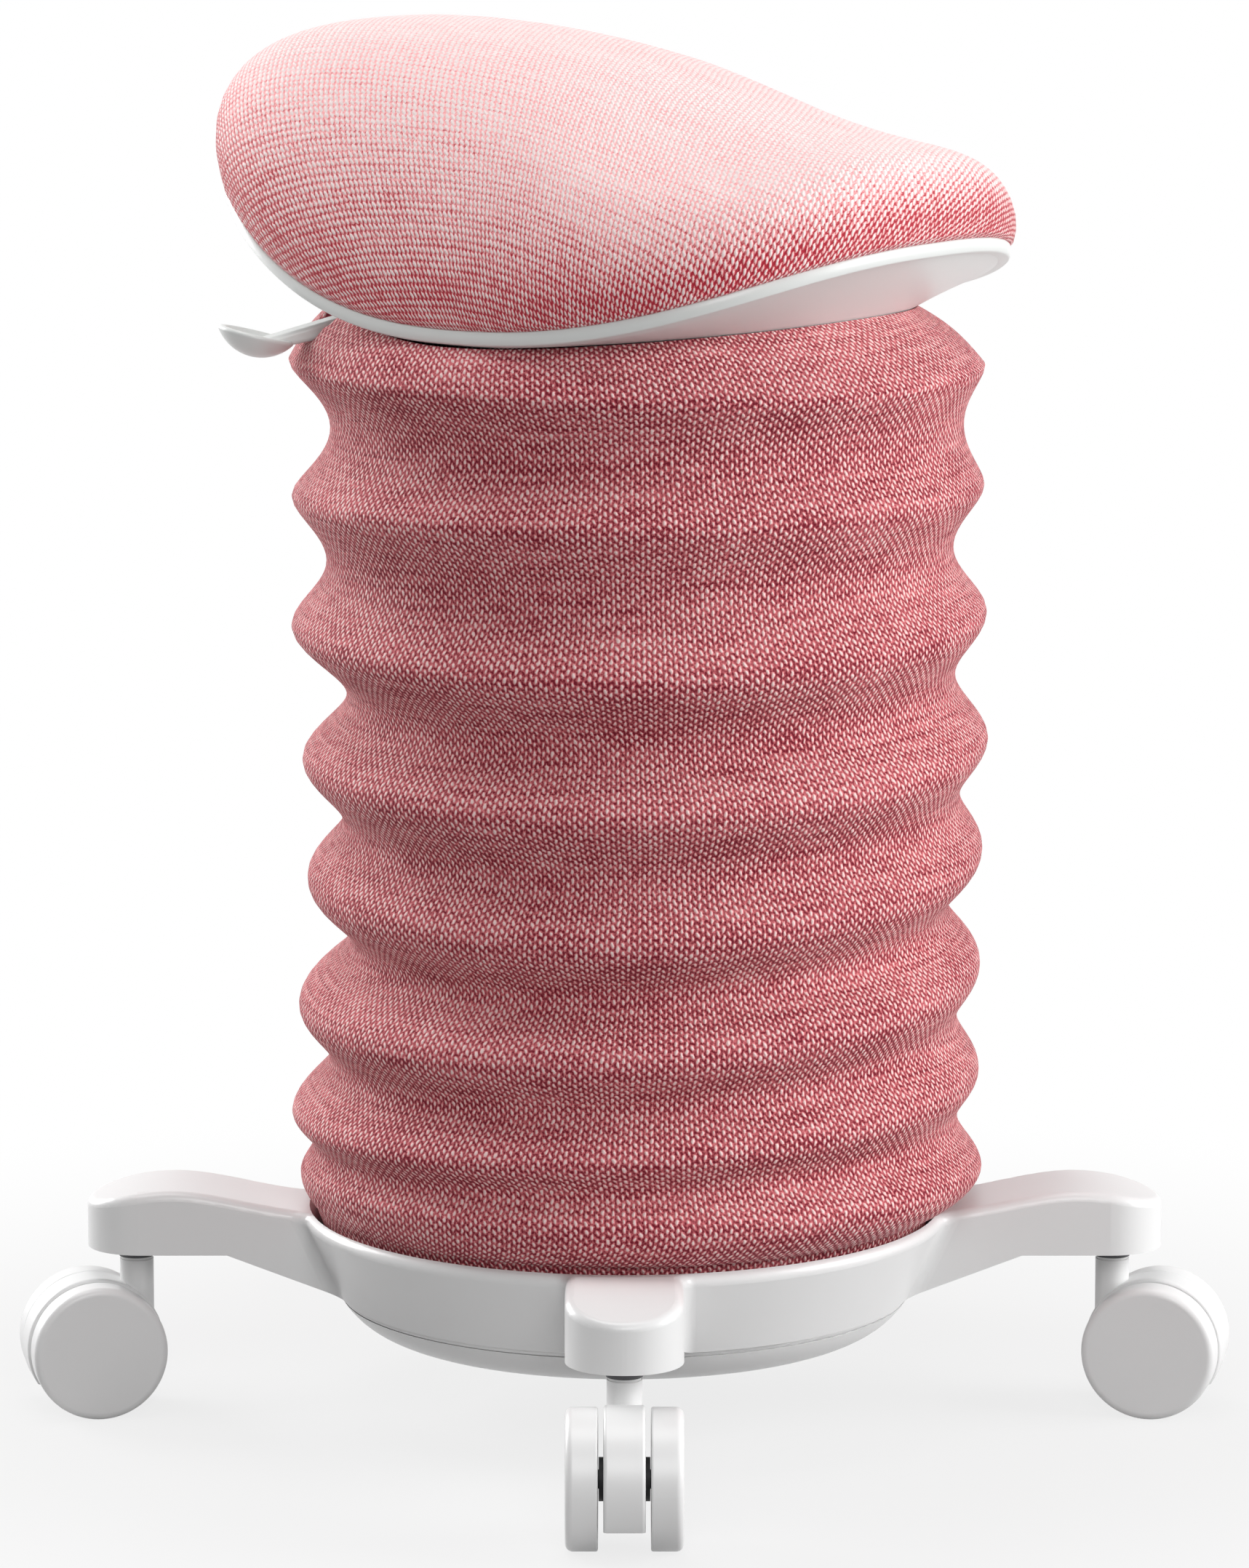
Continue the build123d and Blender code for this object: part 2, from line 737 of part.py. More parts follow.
def board_inside(place):
    """A height well inside the board over a place in plan."""
    x, y = place.position.X, place.position.Y
    yaw = radians(seat_yaw)
    along = x * cos(yaw) + y * sin(yaw) - seat_shift
    across = y * cos(yaw) - x * sin(yaw)
    u = along / (pommel_reach if along > 0 else cantle_reach) / foam_edge_inset
    v = across / seat_half_width / foam_edge_inset
    return cushion_under(1.0, seat_clearance + pillar_bite * board_thickness)(u, v).Z


def make_board():
    """The moulded board inside the cushion, standing on four pillars over the seat plate."""
    drop = seat_clearance + board_thickness
    upper = [saddle_ring(cushion_under(share, seat_clearance)) for share in board_shares]
    lower = [saddle_ring(cushion_under(share, drop)) for share in reversed(board_shares)]
    high = Vertex(*cushion_under(0, seat_clearance)(0, 0))
    low = Vertex(*cushion_under(0, drop)(0, 0))
    board = Rot(0, 0, seat_yaw) * Solid.make_loft([high] + upper + lower + [low], True)
    for place in screw_places():
        board = board + place * upright(pillar_radius, plate_top, board_inside(place))
        board = board - place * upright(
            seat_screw_diameter / 2 + press_clearance, plate_top, plate_top + seat_screw_bite
        )
    return board


def floor_ring(radius, height):
    """The round edge of the shell's floor, started in step with the other rings."""
    return saddle_ring(shell_blend(1.0, 0, 1.0, radius, height))


def shell_outside(size):
    """The rings of the shell's outside, from the lip down to the floor."""
    crease = size - lip_crease
    drop = lip_height + crease_step
    return [
        saddle_ring(level_ring(size, -lip_height)),
        saddle_ring(level_ring(crease, -drop)),
        saddle_ring(shell_blend(crease, drop, 0.5, shell_floor_radius, shell_floor)),
        floor_ring(shell_floor_radius, shell_floor),
    ]


def make_shell():
    """The thin white bowl with its lip, pierced for the lift, the screws and the lever."""
    inner = 1.0 - lip_thickness
    inner_floor_radius = shell_floor_radius - shell_wall
    inner_drop = lip_height + crease_step - shell_wall
    rings = [
        floor_ring(inner_floor_radius, plate_bottom),
        saddle_ring(shell_blend(inner, inner_drop, 0.5, inner_floor_radius, plate_bottom)),
        saddle_ring(level_ring(inner, -inner_drop)),
        saddle_ring(level_ring(inner, 0)),
        saddle_ring(level_ring(1.0, 0)),
    ]
    shell = Rot(0, 0, seat_yaw) * Solid.make_loft(rings + shell_outside(1.0), True)
    shell = shell - upright(shell_centre_hole, shell_floor, plate_bottom)
    for place in screw_places():
        shell = shell - place * upright(seat_screw_diameter / 2 + press_clearance, shell_floor, plate_bottom)
    slot_height = lever_slot_top - shell_floor + shell_wall
    slot = Pos((lever_slot_start + lever_slot_end) / 2, 0, lever_slot_top) * Box(
        lever_slot_end - lever_slot_start,
        lever_width + 2 * lever_slot_side,
        slot_height,
        align=(Align.CENTER, Align.CENTER, Align.MAX),
    )
    return shell - Rot(0, 0, lever_angle) * slot


def make_seat_plate():
    """Pressed plate with the tapered socket and the two ears of the lever's pivot."""
    outline = fillet(Rectangle(plate_size, plate_size).vertices(), plate_corner)
    plate = Pos(0, 0, plate_bottom) * extrude(outline, plate_thickness)
    plate += upright(plate_socket_radius, plate_bottom - plate_socket_drop, plate_top + plate_socket_rise)
    ear = Box(
        2 * ear_half_length,
        ear_thickness,
        lever_pivot_height + ear_rise - plate_top,
        align=(Align.CENTER, Align.MIN, Align.MIN),
    )
    ear = Pos(lever_pivot_radius, lever_width / 2 + ear_side_gap, plate_top) * ear
    top_edges = ear.edges().filter_by(Axis.Y).group_by(Axis.Z)[-1]
    ear = fillet(top_edges, ear_rise)
    plate += ear + mirror(ear, Plane.XZ)
    pin_hole = Pos(lever_pivot_radius, 0, lever_pivot_height) * Rot(90, 0, 0) * Cylinder(
        lever_pin_diameter / 2 + press_clearance, plate_size
    )
    plate = Rot(0, 0, lever_angle) * (plate - pin_hole)
    for place in screw_places():
        plate -= place * upright(seat_screw_diameter / 2 + press_clearance, plate_bottom, plate_top)
    taper_bottom = plate_bottom - plate_socket_drop
    bore = turned(
        (0, taper_bottom),
        (cylinder_radius + press_clearance, taper_bottom),
        (cylinder_radius - cylinder_taper + press_clearance, cylinder_top),
        (0, cylinder_top),
    )
    return plate - bore


def make_seat_screws():
    """The four screws from under the shell up into the board's pillars."""
    head = upright(seat_screw_head_diameter / 2, shell_floor - seat_screw_head_height, shell_floor)
    shank = upright(seat_screw_diameter / 2, shell_floor, plate_top + seat_screw_bite - seat_clearance)
    return [place * (head + shank) for place in screw_places()]


def lever_line():
    """Middle line of the lever in its own upright plane: nose, pivot, knee and end."""
    nose_height = valve_top + seat_clearance + lever_depth / 2
    return [
        (-lever_nose, nose_height),
        (lever_nose, nose_height),
        (lever_pivot_radius, lever_pivot_height),
        (lever_knee_radius, lever_knee_height),
        (lever_end_radius, lever_end_height),
    ]


def make_lever_bar():
    """The cranked bar from the valve, through its pivot, to the paddle."""
    line = lever_line()
    halves = [lever_depth / 2] * (len(line) - 1) + [lever_end_depth / 2]
    upper = [(x, 0, z + half) for (x, z), half in zip(line, halves)]
    lower = [(x, 0, z - half) for (x, z), half in zip(line, halves)]
    lower.reverse()
    bar = extrude(make_face(Polyline(upper + lower, close=True)), lever_width / 2, both=True)
    sides = [edge for edge in bar.edges() if abs(edge.center().Y) > lever_width / 4]
    bar = fillet([edge for edge in sides if edge.center().X > lever_pivot_radius], lever_edge)
    hole = Pos(lever_pivot_radius, 0, lever_pivot_height) * Rot(90, 0, 0) * Cylinder(
        lever_pin_diameter / 2 + running_clearance, 2 * lever_width
    )
    return Rot(0, 0, lever_angle) * (bar - hole)


def make_lever_paddle():
    """The round spoon for a fingertip on the end of the bar, with a rounded lip."""
    centre = Pos(0, 0, paddle_bowl_radius - paddle_depth)
    bowl = centre * (Sphere(paddle_bowl_radius) - Sphere(paddle_bowl_radius - paddle_thickness))
    bowl = bowl & upright(2 * paddle_bowl_radius, -2 * paddle_depth, 0)
    lip = [edge for edge in bowl.edges() if abs(edge.bounding_box().min.Z) < paddle_lip / 2]
    spoon = fillet(lip, paddle_lip)
    place = Pos(paddle_centre_radius, 0, lever_end_height + paddle_rim_rise) * Rot(0, -paddle_tilt, 0)
    spoon = Rot(0, 0, lever_angle) * place * spoon
    return spoon - make_lever_bar()


def make_lever_pin():
    """The pin through the plate's ears and the lever."""
    length = lever_width + 2 * (ear_side_gap + ear_thickness)
    pin = Rot(90, 0, 0) * Cylinder(lever_pin_diameter / 2, length)
    return Rot(0, 0, lever_angle) * Pos(lever_pivot_radius, 0, lever_pivot_height) * pin


# Sleeve


def sleeve_circle(radius, height, lean, left_drop, front_drop):
    """A level or tilted circle round the lift, kept in step with its neighbours."""
    slope_x = left_drop / (2 * sleeve_ridge_radius)
    slope_y = front_drop / sleeve_ridge_radius
    plane = Plane(origin=(lean, 0, height), x_dir=(1, 0, slope_x), z_dir=(-slope_x, -slope_y, 1))
    return Wire.make_circle(radius, plane)


def sleeve_sections(inset):
    """The circles that the sleeve is drawn through, from its hem to its top, moved inwards by an inset."""
    fold_height = hem_tuck_height - hem_fold
    fold_radius = hub_wall_radius(fold_height) - hub_wall - hem_fold_gap
    hem = [
        (hem_radius, hem_bottom + hem_ring_height + seat_clearance, 0.0, 0.0, 0.0),
        (fold_radius, fold_height, 0.0, 0.0, 0.0),
        (tub_radius - hem_tuck_gap, hem_tuck_height, hem_lean, 0.0, 0.0),
    ]
    rows = list(zip(hoop_heights, hoop_left_drops, hoop_front_drops))
    sections = hem
    for index, (height, left, front) in enumerate(rows):
        last = index == len(rows) - 1
        flank = sleeve_ridge_radius - sleeve_flank_depth
        sections.append((flank, height - sleeve_flank_rise, sleeve_lean, left, front))
        sections.append((sleeve_ridge_radius, height, sleeve_lean, left, front))
        sections.append((flank, height + sleeve_flank_rise, sleeve_lean, left, front))
        if last:
            sections.append((sleeve_top_radius, sleeve_top_height, 0.0, 0.0, 0.0))
        else:
            next_height, next_left, next_front = rows[index + 1]
            valley = sleeve_ridge_radius - sleeve_valley_depth
            middle = (height + next_height) / 2
            sections.append((valley, middle, sleeve_lean, (left + next_left) / 2, (front + next_front) / 2))
    return [sleeve_circle(radius - inset, *rest) for radius, *rest in sections]


def make_sleeve():
    """The knit tube: a ruled skin over its hoops, open inside, cut to the shell above and round the lever."""
    outside = Solid.make_loft(sleeve_sections(0), True)
    inside = Solid.make_loft(sleeve_sections(sleeve_thickness), True)
    roof = Vertex(0, 0, spine_heights[2])
    envelope = [roof, saddle_ring(level_ring(1.0, 0))] + shell_outside(1.0)
    cover = Pos(0, 0, -seat_clearance) * Rot(0, 0, seat_yaw) * Solid.make_loft(envelope, True)
    notch_bottom = lever_end_height - lever_end_depth / 2 - lever_slot_side
    notch = Pos(lever_slot_start, 0, notch_bottom) * Box(
        lever_end_radius - lever_slot_start,
        lever_width + 2 * lever_slot_side,
        sleeve_top_height - notch_bottom,
        align=(Align.MIN, Align.CENTER, Align.MIN),
    )
    return outside - inside - cover - Rot(0, 0, lever_angle) * notch


def make_hoops():
    """The flat hoops that hold the sleeve's ridges out."""
    ridge_slope = sleeve_flank_depth / sleeve_flank_rise
    outer = sleeve_ridge_radius - sleeve_thickness - seat_clearance - ridge_slope * hoop_height / 2
    hoops = []
    for height, left, front in zip(hoop_heights, hoop_left_drops, hoop_front_drops):
        slope_x = left / (2 * sleeve_ridge_radius)
        slope_y = front / sleeve_ridge_radius
        plane = Plane(
            origin=(sleeve_lean, 0, height), x_dir=(1, 0, slope_x), z_dir=(-slope_x, -slope_y, 1)
        )
        hoops.append(plane * washer(outer, outer - hoop_width, -hoop_height / 2, hoop_height / 2))
    return hoops


def make_hem_ring():
    """The weighted ring in the sleeve's hem, lying on the floor of the hub."""
    return washer(hem_radius, hem_radius - hem_ring_width, hem_bottom, hem_bottom + hem_ring_height)


def make_bump_stop():
    """The rubber stop on the rod that ends the seat's way down."""
    stop_top = bearing_top + bump_stop_length
    return washer(bump_stop_diameter / 2, rod_radius + running_clearance, bearing_top, stop_top)


def make_parts():
    """Every piece by node name, each as a list of solids."""
    parts = {
        "star_base": [make_star_base()],
        "base_pan": [make_base_pan()],
        "pan_screws": make_pan_screws(),
        "lift_tube": [make_lift_tube()],
        "guide_bush": [make_guide_bush()],
        "piston_rod": [make_piston_rod()],
        "retaining_clip": [make_retaining_clip()],
        "bump_stop": [make_bump_stop()],
        "piston": [make_piston()],
        "gas_cylinder": [make_cylinder()],
        "rod_gland": [make_gland()],
        "valve_pin": [make_valve_pin()],
        "seat_plate": [make_seat_plate()],
        "seat_screws": make_seat_screws(),
        "lever_bar": [make_lever_bar()],
        "lever_paddle": [make_lever_paddle()],
        "lever_pin": [make_lever_pin()],
        "seat_shell": [make_shell()],
        "seat_board": [make_board()],
        "seat_cushion": [Rot(0, 0, seat_yaw) * make_cushion()],
        "sleeve": [make_sleeve()],
        "sleeve_hoops": make_hoops(),
        "hem_ring": [make_hem_ring()],
    }
    parts.update(make_thrust_bearing())
    parts.update(make_casters())
    return parts


os.makedirs("parts", exist_ok=True)
for name, solids in make_parts().items():
    bodies = [solid for piece in solids for solid in piece.solids()]
    shape = bodies[0] if len(bodies) == 1 else Compound(children=bodies)
    export_step(shape, f"parts/{name}.step")
    print(name, len(bodies), "solids", round(sum(body.volume for body in bodies)), "mm3")
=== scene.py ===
import json
from math import cos, pi, radians, sin

import bmesh
import bpy
import numpy as np
from mathutils import Matrix, Vector


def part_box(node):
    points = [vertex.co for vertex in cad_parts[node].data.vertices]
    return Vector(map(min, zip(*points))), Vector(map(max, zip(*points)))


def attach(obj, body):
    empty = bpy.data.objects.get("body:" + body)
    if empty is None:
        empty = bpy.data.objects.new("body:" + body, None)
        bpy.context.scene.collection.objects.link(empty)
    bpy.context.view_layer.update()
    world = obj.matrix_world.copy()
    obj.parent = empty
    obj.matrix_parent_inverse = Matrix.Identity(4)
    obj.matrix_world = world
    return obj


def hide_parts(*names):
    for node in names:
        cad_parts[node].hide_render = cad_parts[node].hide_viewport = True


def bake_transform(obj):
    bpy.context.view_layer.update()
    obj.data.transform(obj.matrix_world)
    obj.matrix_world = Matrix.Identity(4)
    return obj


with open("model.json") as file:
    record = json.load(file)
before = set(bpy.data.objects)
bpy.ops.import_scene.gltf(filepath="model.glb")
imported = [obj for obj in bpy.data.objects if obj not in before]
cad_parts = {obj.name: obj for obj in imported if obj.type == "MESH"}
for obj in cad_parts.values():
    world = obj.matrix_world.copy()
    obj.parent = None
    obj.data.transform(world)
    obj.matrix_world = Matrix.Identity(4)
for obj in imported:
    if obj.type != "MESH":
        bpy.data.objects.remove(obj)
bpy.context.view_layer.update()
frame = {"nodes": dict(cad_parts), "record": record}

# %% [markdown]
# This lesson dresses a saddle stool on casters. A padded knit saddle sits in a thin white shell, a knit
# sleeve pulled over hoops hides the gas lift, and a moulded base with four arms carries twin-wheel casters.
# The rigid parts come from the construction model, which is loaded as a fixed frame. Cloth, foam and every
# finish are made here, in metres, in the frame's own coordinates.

mm = 0.001

# %% [markdown]
# A piece is a bmesh that becomes an object at the origin, with its place in its vertices. Smooth faces with
# sharp marks on the strong edges give moulded parts their soft highlights and keep their crisp corners.

# %% Helpers for pieces
def make_piece(name, mesh_data, material, body, stands_for=()):
    """Turn a bmesh into a piece that rides on a body, wears a finish and may stand for frame nodes."""
    mesh = bpy.data.meshes.new(name)
    mesh_data.to_mesh(mesh)
    mesh_data.free()
    piece = bpy.data.objects.new(name, mesh)
    bpy.context.scene.collection.objects.link(piece)
    mesh.materials.append(material)
    if body:
        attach(piece, body)
    if stands_for:
        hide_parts(*stands_for)
    print(name, len(mesh.polygons), "faces")
    return piece


def soften(mesh_data, sharp_angle=radians(32)):
    """Smooth every face and keep the edges that turn more than an angle sharp."""
    for face in mesh_data.faces:
        face.smooth = True
    for edge in mesh_data.edges:
        edge.smooth = edge.calc_face_angle(pi) < sharp_angle


# %% [markdown]
# Knit is painted paler where it faces up, as painted light from the lamp above, and darker where it faces
# down, as painted shade. Each cloth piece carries the upward part of its normals as an attribute, and the
# knit's finish reads it.

# %% Helper for cloth pieces
def mark_upness(piece):
    """Store how far each point of a piece faces up, from -1 to 1."""
    upness = piece.data.attributes.new("upness", "FLOAT", "POINT")
    for vert in piece.data.vertices:
        upness.data[vert.index].value = vert.normal.z


# %% [markdown]
# Finishes are node trees. A few helpers keep them short: one adds a node, two do arithmetic on sockets, and
# one makes noise that is stretched along the axes of whatever coordinate feeds it.

# %% Helpers for finishes
def start_finish(name, roughness, specular=0.5):
    """A new node material with its shader's constant values set."""
    finish = bpy.data.materials.new(name)
    finish.use_nodes = True
    shader = finish.node_tree.nodes["Principled BSDF"]
    shader.inputs["Roughness"].default_value = roughness
    shader.inputs["Specular IOR Level"].default_value = specular
    return finish, finish.node_tree, shader


def add(tree, kind, **settings):
    """Add a node and set its properties."""
    node = tree.nodes.new(kind)
    for key, value in settings.items():
        setattr(node, key, value)
    return node


def feed(tree, socket, value):
    """Set a socket from a number, a colour or another socket."""
    if isinstance(value, bpy.types.NodeSocket):
        tree.links.new(value, socket)
    else:
        socket.default_value = value


def calc(tree, operation, *values):
    """One arithmetic node."""
    node = add(tree, "ShaderNodeMath", operation=operation)
    for socket, value in zip(node.inputs, values):
        feed(tree, socket, value)
    return node.outputs[0]


def spread_out(tree, value, spread, middle=0.5):
    """A value stretched to a spread, with a middle value that becomes nought."""
    return calc(tree, "MULTIPLY_ADD", value, spread, -spread * middle)


def stretched_noise(tree, coordinate, scale, detail=2.0, roughness=0.5):
    """Noise whose coordinate is multiplied by a scale along each axis."""
    mapping = add(tree, "ShaderNodeMapping")
    mapping.inputs["Scale"].default_value = scale
    noise = add(tree, "ShaderNodeTexNoise")
    noise.inputs["Scale"].default_value = 1.0
    noise.inputs["Detail"].default_value = detail
    noise.inputs["Roughness"].default_value = roughness
    tree.links.new(coordinate, mapping.inputs["Vector"])
    tree.links.new(mapping.outputs["Vector"], noise.inputs["Vector"])
    return noise.outputs["Fac"]


def ramp(tree, value, *stops):
    """A colour ramp from (position, colour) stops."""
    node = add(tree, "ShaderNodeValToRGB")
    elements = node.color_ramp.elements
    while len(elements) < len(stops):
        elements.new(0.5)
    for element, (position, colour) in zip(elements, stops):
        element.position = position
        element.color = (*colour, 1.0)
    tree.links.new(value, node.inputs["Fac"])
    return node.outputs["Color"]


def raise_surface(tree, shader, height, distance, strength):
    """Bump the shader's normal by a height."""
    bump = add(tree, "ShaderNodeBump")
    bump.inputs["Distance"].default_value = distance
    bump.inputs["Strength"].default_value = strength
    tree.links.new(height, bump.inputs["Height"])
    tree.links.new(bump.outputs["Normal"], shader.inputs["Normal"])


# %% [markdown]
# The cloth is a heathered knit. Loops of cream yarn stand up from a crimson ground, so a lattice of small
# ovals gives the loops: slanted strokes on the seat, upright strokes on the sleeve. A second lattice half a
# step away staggers the rows. Each loop gets its own brightness, and noise drawn out along the rows gives
# the slubs of melange yarn. The pattern follows the cloth's own map, which is measured in metres along the
# surface.

# %% Knit finish
yarn_drifts = ((55.0, 1.6 * mm), (420.0, 1.1 * mm))
loop_spread, slub_spread, haze_spread, fibre_spread = 0.7, 0.5, 0.2, 1.0
fibre_middle = 0.44
ground_stop, yarn_stop, cream_stop = 0.04, 0.34, 0.72
loop_relief, fibre_relief = 0.9 * mm, 0.4


def loop_lattice(tree, along_u, along_v, pitch, shift, slant, loop_size):
    """Height of one lattice of loops, and a random value for each loop."""
    wale, course = pitch
    loop_width, loop_length = loop_size
    columns = calc(tree, "ADD", calc(tree, "DIVIDE", along_u, wale), shift)
    rows = calc(tree, "ADD", calc(tree, "DIVIDE", along_v, course), shift)
    x = calc(tree, "MULTIPLY", calc(tree, "SUBTRACT", calc(tree, "FRACT", columns), 0.5), wale)
    y = calc(tree, "MULTIPLY", calc(tree, "SUBTRACT", calc(tree, "FRACT", rows), 0.5), course)
    turn_c, turn_s = cos(slant), sin(slant)
    across = calc(tree, "ADD", calc(tree, "MULTIPLY", x, turn_c), calc(tree, "MULTIPLY", y, turn_s))
    along = calc(tree, "SUBTRACT", calc(tree, "MULTIPLY", y, turn_c), calc(tree, "MULTIPLY", x, turn_s))
    wide = calc(tree, "POWER", calc(tree, "DIVIDE", across, loop_width), 2.0)
    far = calc(tree, "POWER", calc(tree, "DIVIDE", along, loop_length), 2.0)
    height = calc(tree, "EXPONENT", calc(tree, "MULTIPLY", calc(tree, "ADD", wide, far), -1.0))
    place = add(tree, "ShaderNodeCombineXYZ")
    tree.links.new(calc(tree, "FLOOR", columns), place.inputs["X"])
    tree.links.new(calc(tree, "FLOOR", rows), place.inputs["Y"])
    place.inputs["Z"].default_value = shift
    chance = add(tree, "ShaderNodeTexWhiteNoise", noise_dimensions="3D")
    tree.links.new(place.outputs["Vector"], chance.inputs["Vector"])
    return height, chance.outputs["Value"]


def knit_finish(name, ground, yarn, cream, pitch, slants, loop_size, turn, sheen, painted_top_light, painted_light_zero):
    """Heathered knit on the piece's own cloth map, with painted light where it faces up and painted shade
    where it faces down.
    """
    finish, tree, shader = start_finish(name, 0.85, 0.2)
    shader.inputs["Sheen Weight"].default_value = sheen
    shader.inputs["Sheen Roughness"].default_value = 0.45
    shader.inputs["Sheen Tint"].default_value = (1.0, 0.86, 0.85, 1.0)
    cloth_map = add(tree, "ShaderNodeUVMap", uv_map="cloth")
    mapping = add(tree, "ShaderNodeMapping")
    mapping.inputs["Rotation"].default_value = (0.0, 0.0, turn)
    tree.links.new(cloth_map.outputs["UV"], mapping.inputs["Vector"])
    cloth = mapping.outputs["Vector"]
    moved = cloth
    for scale, distance in yarn_drifts:
        drift = add(tree, "ShaderNodeTexNoise")
        drift.inputs["Scale"].default_value = scale
        tree.links.new(cloth, drift.inputs["Vector"])
        pull = add(tree, "ShaderNodeVectorMath", operation="MULTIPLY_ADD")
        pull.inputs[1].default_value = (distance, distance, 0.0)
        tree.links.new(drift.outputs["Color"], pull.inputs[0])
        tree.links.new(moved, pull.inputs[2])
        moved = pull.outputs["Vector"]
    split = add(tree, "ShaderNodeSeparateXYZ")
    tree.links.new(moved, split.inputs["Vector"])
    u, v = split.outputs["X"], split.outputs["Y"]
    loops, chance = loop_lattice(tree, u, v, pitch, 0.0, slants[0], loop_size)
    for slant in slants[1:]:
        other, other_chance = loop_lattice(tree, u, v, pitch, 0.5, slant, loop_size)
        nearer = calc(tree, "GREATER_THAN", other, loops)
        chance = calc(tree, "MULTIPLY_ADD", nearer, calc(tree, "SUBTRACT", other_chance, chance), chance)
        loops = calc(tree, "MAXIMUM", loops, other)
    fibre = stretched_noise(tree, cloth, (1200.0, 800.0, 1.0), 2.0, 0.7)
    slub = stretched_noise(tree, cloth, (26.0, 420.0, 1.0), 3.0)
    haze = stretched_noise(tree, cloth, (9.0, 34.0, 1.0), 2.0)
    tone = calc(tree, "MULTIPLY", spread_out(tree, chance, loop_spread), loops)
    tone = calc(tree, "ADD", tone, spread_out(tree, slub, slub_spread))
    tone = calc(tree, "ADD", tone, spread_out(tree, haze, haze_spread))
    # Painted light and shade: the tone rises where the cloth faces up and falls where it faces down.
    upness = add(tree, "ShaderNodeAttribute", attribute_name="upness").outputs["Fac"]
    upness = calc(tree, "MAXIMUM", upness, 0.0)
    tone = calc(tree, "ADD", tone, spread_out(tree, upness, painted_top_light, painted_light_zero))
    level = calc(tree, "ADD", loops, tone)
    level = calc(tree, "ADD", level, spread_out(tree, fibre, fibre_spread, fibre_middle))
    colour = ramp(tree, level, (ground_stop, ground), (yarn_stop, yarn), (cream_stop, cream))
    tree.links.new(colour, shader.inputs["Base Color"])
    height = calc(tree, "MULTIPLY_ADD", fibre, fibre_relief, loops)
    raise_surface(tree, shader, height, loop_relief, 0.7)
    return finish


# The seat and the sleeve wear one knit. The seat's paler ground, yarn and cream are painted light from the
# lamp above, and the sleeve's darker ground and yarn are painted shade under the seat.
lit_seat_knit = knit_finish(
    "lit_seat_knit",
    ground=(0.42, 0.016, 0.035),
    yarn=(0.98, 0.42, 0.43),
    cream=(0.94, 0.79, 0.78),
    pitch=(2.8 * mm, 6.4 * mm),
    slants=(radians(45), radians(45)),
    loop_size=(0.62 * mm, 1.95 * mm),
    turn=radians(-4),
    sheen=0.4,
    painted_top_light=0.55,
    painted_light_zero=0.32,
)
shaded_sleeve_knit = knit_finish(
    "shaded_sleeve_knit",
    ground=(0.17, 0.005, 0.018),
    yarn=(0.69, 0.175, 0.195),
    cream=(0.90, 0.67, 0.65),
    pitch=(4.6 * mm, 3.8 * mm),
    slants=(radians(22), radians(-8)),
    loop_size=(0.62 * mm, 1.2 * mm),
    turn=0.0,
    sheen=0.08,
    painted_top_light=0.06,
    painted_light_zero=0.0,
)
print("knit finishes made")

# %% [markdown]
# Moulded nylon and satin plastic are almost plain, but a flat colour looks drawn. A faint mottle in the
# roughness, a very fine skin texture and a slight drift of tone make them read as moulded parts.

# %% Plastic, metal and rubber finishes
def moulded_finish(name, colour, roughness, spread, grain, grain_depth):
    """Moulded plastic with a faint drift of tone, mottled gloss and a fine skin."""
    finish, tree, shader = start_finish(name, roughness)
    place = add(tree, "ShaderNodeTexCoord").outputs["Object"]
    drift = stretched_noise(tree, place, (14.0, 14.0, 14.0), 3.0)
    darker = tuple(channel * (1.0 - spread) for channel in colour)
    tree.links.new(ramp(tree, drift, (0.3, darker), (0.7, colour)), shader.inputs["Base Color"])
    mottle = stretched_noise(tree, place, (90.0, 90.0, 90.0), 2.0)
    gloss = calc(tree, "MULTIPLY_ADD", mottle, 0.03, roughness - 0.015)
    tree.links.new(gloss, shader.inputs["Roughness"])
    skin = stretched_noise(tree, place, (grain, grain, grain), 2.0)
    raise_surface(tree, shader, skin, grain_depth, 0.35)
    return finish


def metal_finish(name, colour, roughness, brush):
    """Metal with fine brush marks round the upright axis."""
    finish, tree, shader = start_finish(name, roughness)
    shader.inputs["Metallic"].default_value = 1.0
    place = add(tree, "ShaderNodeTexCoord").outputs["Object"]
    marks = stretched_noise(tree, place, (brush / 20, brush / 20, brush), 3.0)
    darker = tuple(channel * 0.8 for channel in colour)
    tree.links.new(ramp(tree, marks, (0.35, darker), (0.65, colour)), shader.inputs["Base Color"])
    gloss = calc(tree, "MULTIPLY_ADD", marks, 0.16, roughness - 0.08)
    tree.links.new(gloss, shader.inputs["Roughness"])
    return finish


finishes = {
    "base_plastic": moulded_finish("base_nylon", (0.77, 0.77, 0.77), 0.3, 0.012, 900.0, 0.012 * mm),
    "caster_plastic": moulded_finish("caster_nylon", (0.79, 0.79, 0.79), 0.36, 0.015, 1100.0, 0.015 * mm),
    "shell_plastic": moulded_finish("shell_white", (0.715, 0.732, 0.72), 0.33, 0.012, 1000.0, 0.012 * mm),
    "dark_plastic": moulded_finish("dark_plastic", (0.07, 0.07, 0.075), 0.5, 0.2, 900.0, 0.05 * mm),
    "rubber": moulded_finish("black_rubber", (0.03, 0.03, 0.03), 0.7, 0.3, 700.0, 0.08 * mm),
    "painted_steel": moulded_finish("black_paint", (0.045, 0.045, 0.05), 0.45, 0.25, 1400.0, 0.06 * mm),
    # The steel is painted near black: painted shade for the stems, which sit in the shade under the arms.
    "steel": metal_finish("shaded_steel", (0.035, 0.035, 0.038), 0.4, 2500.0),
    "seat_fabric": lit_seat_knit,
    "sleeve_fabric": shaded_sleeve_knit,
}
slot_of = {part["node"]: part["material_slot"] for part in frame["record"]["subparts"]}
for node, slot in slot_of.items():
    frame["nodes"][node].data.materials.clear()
    frame["nodes"][node].data.materials.append(finishes[slot])
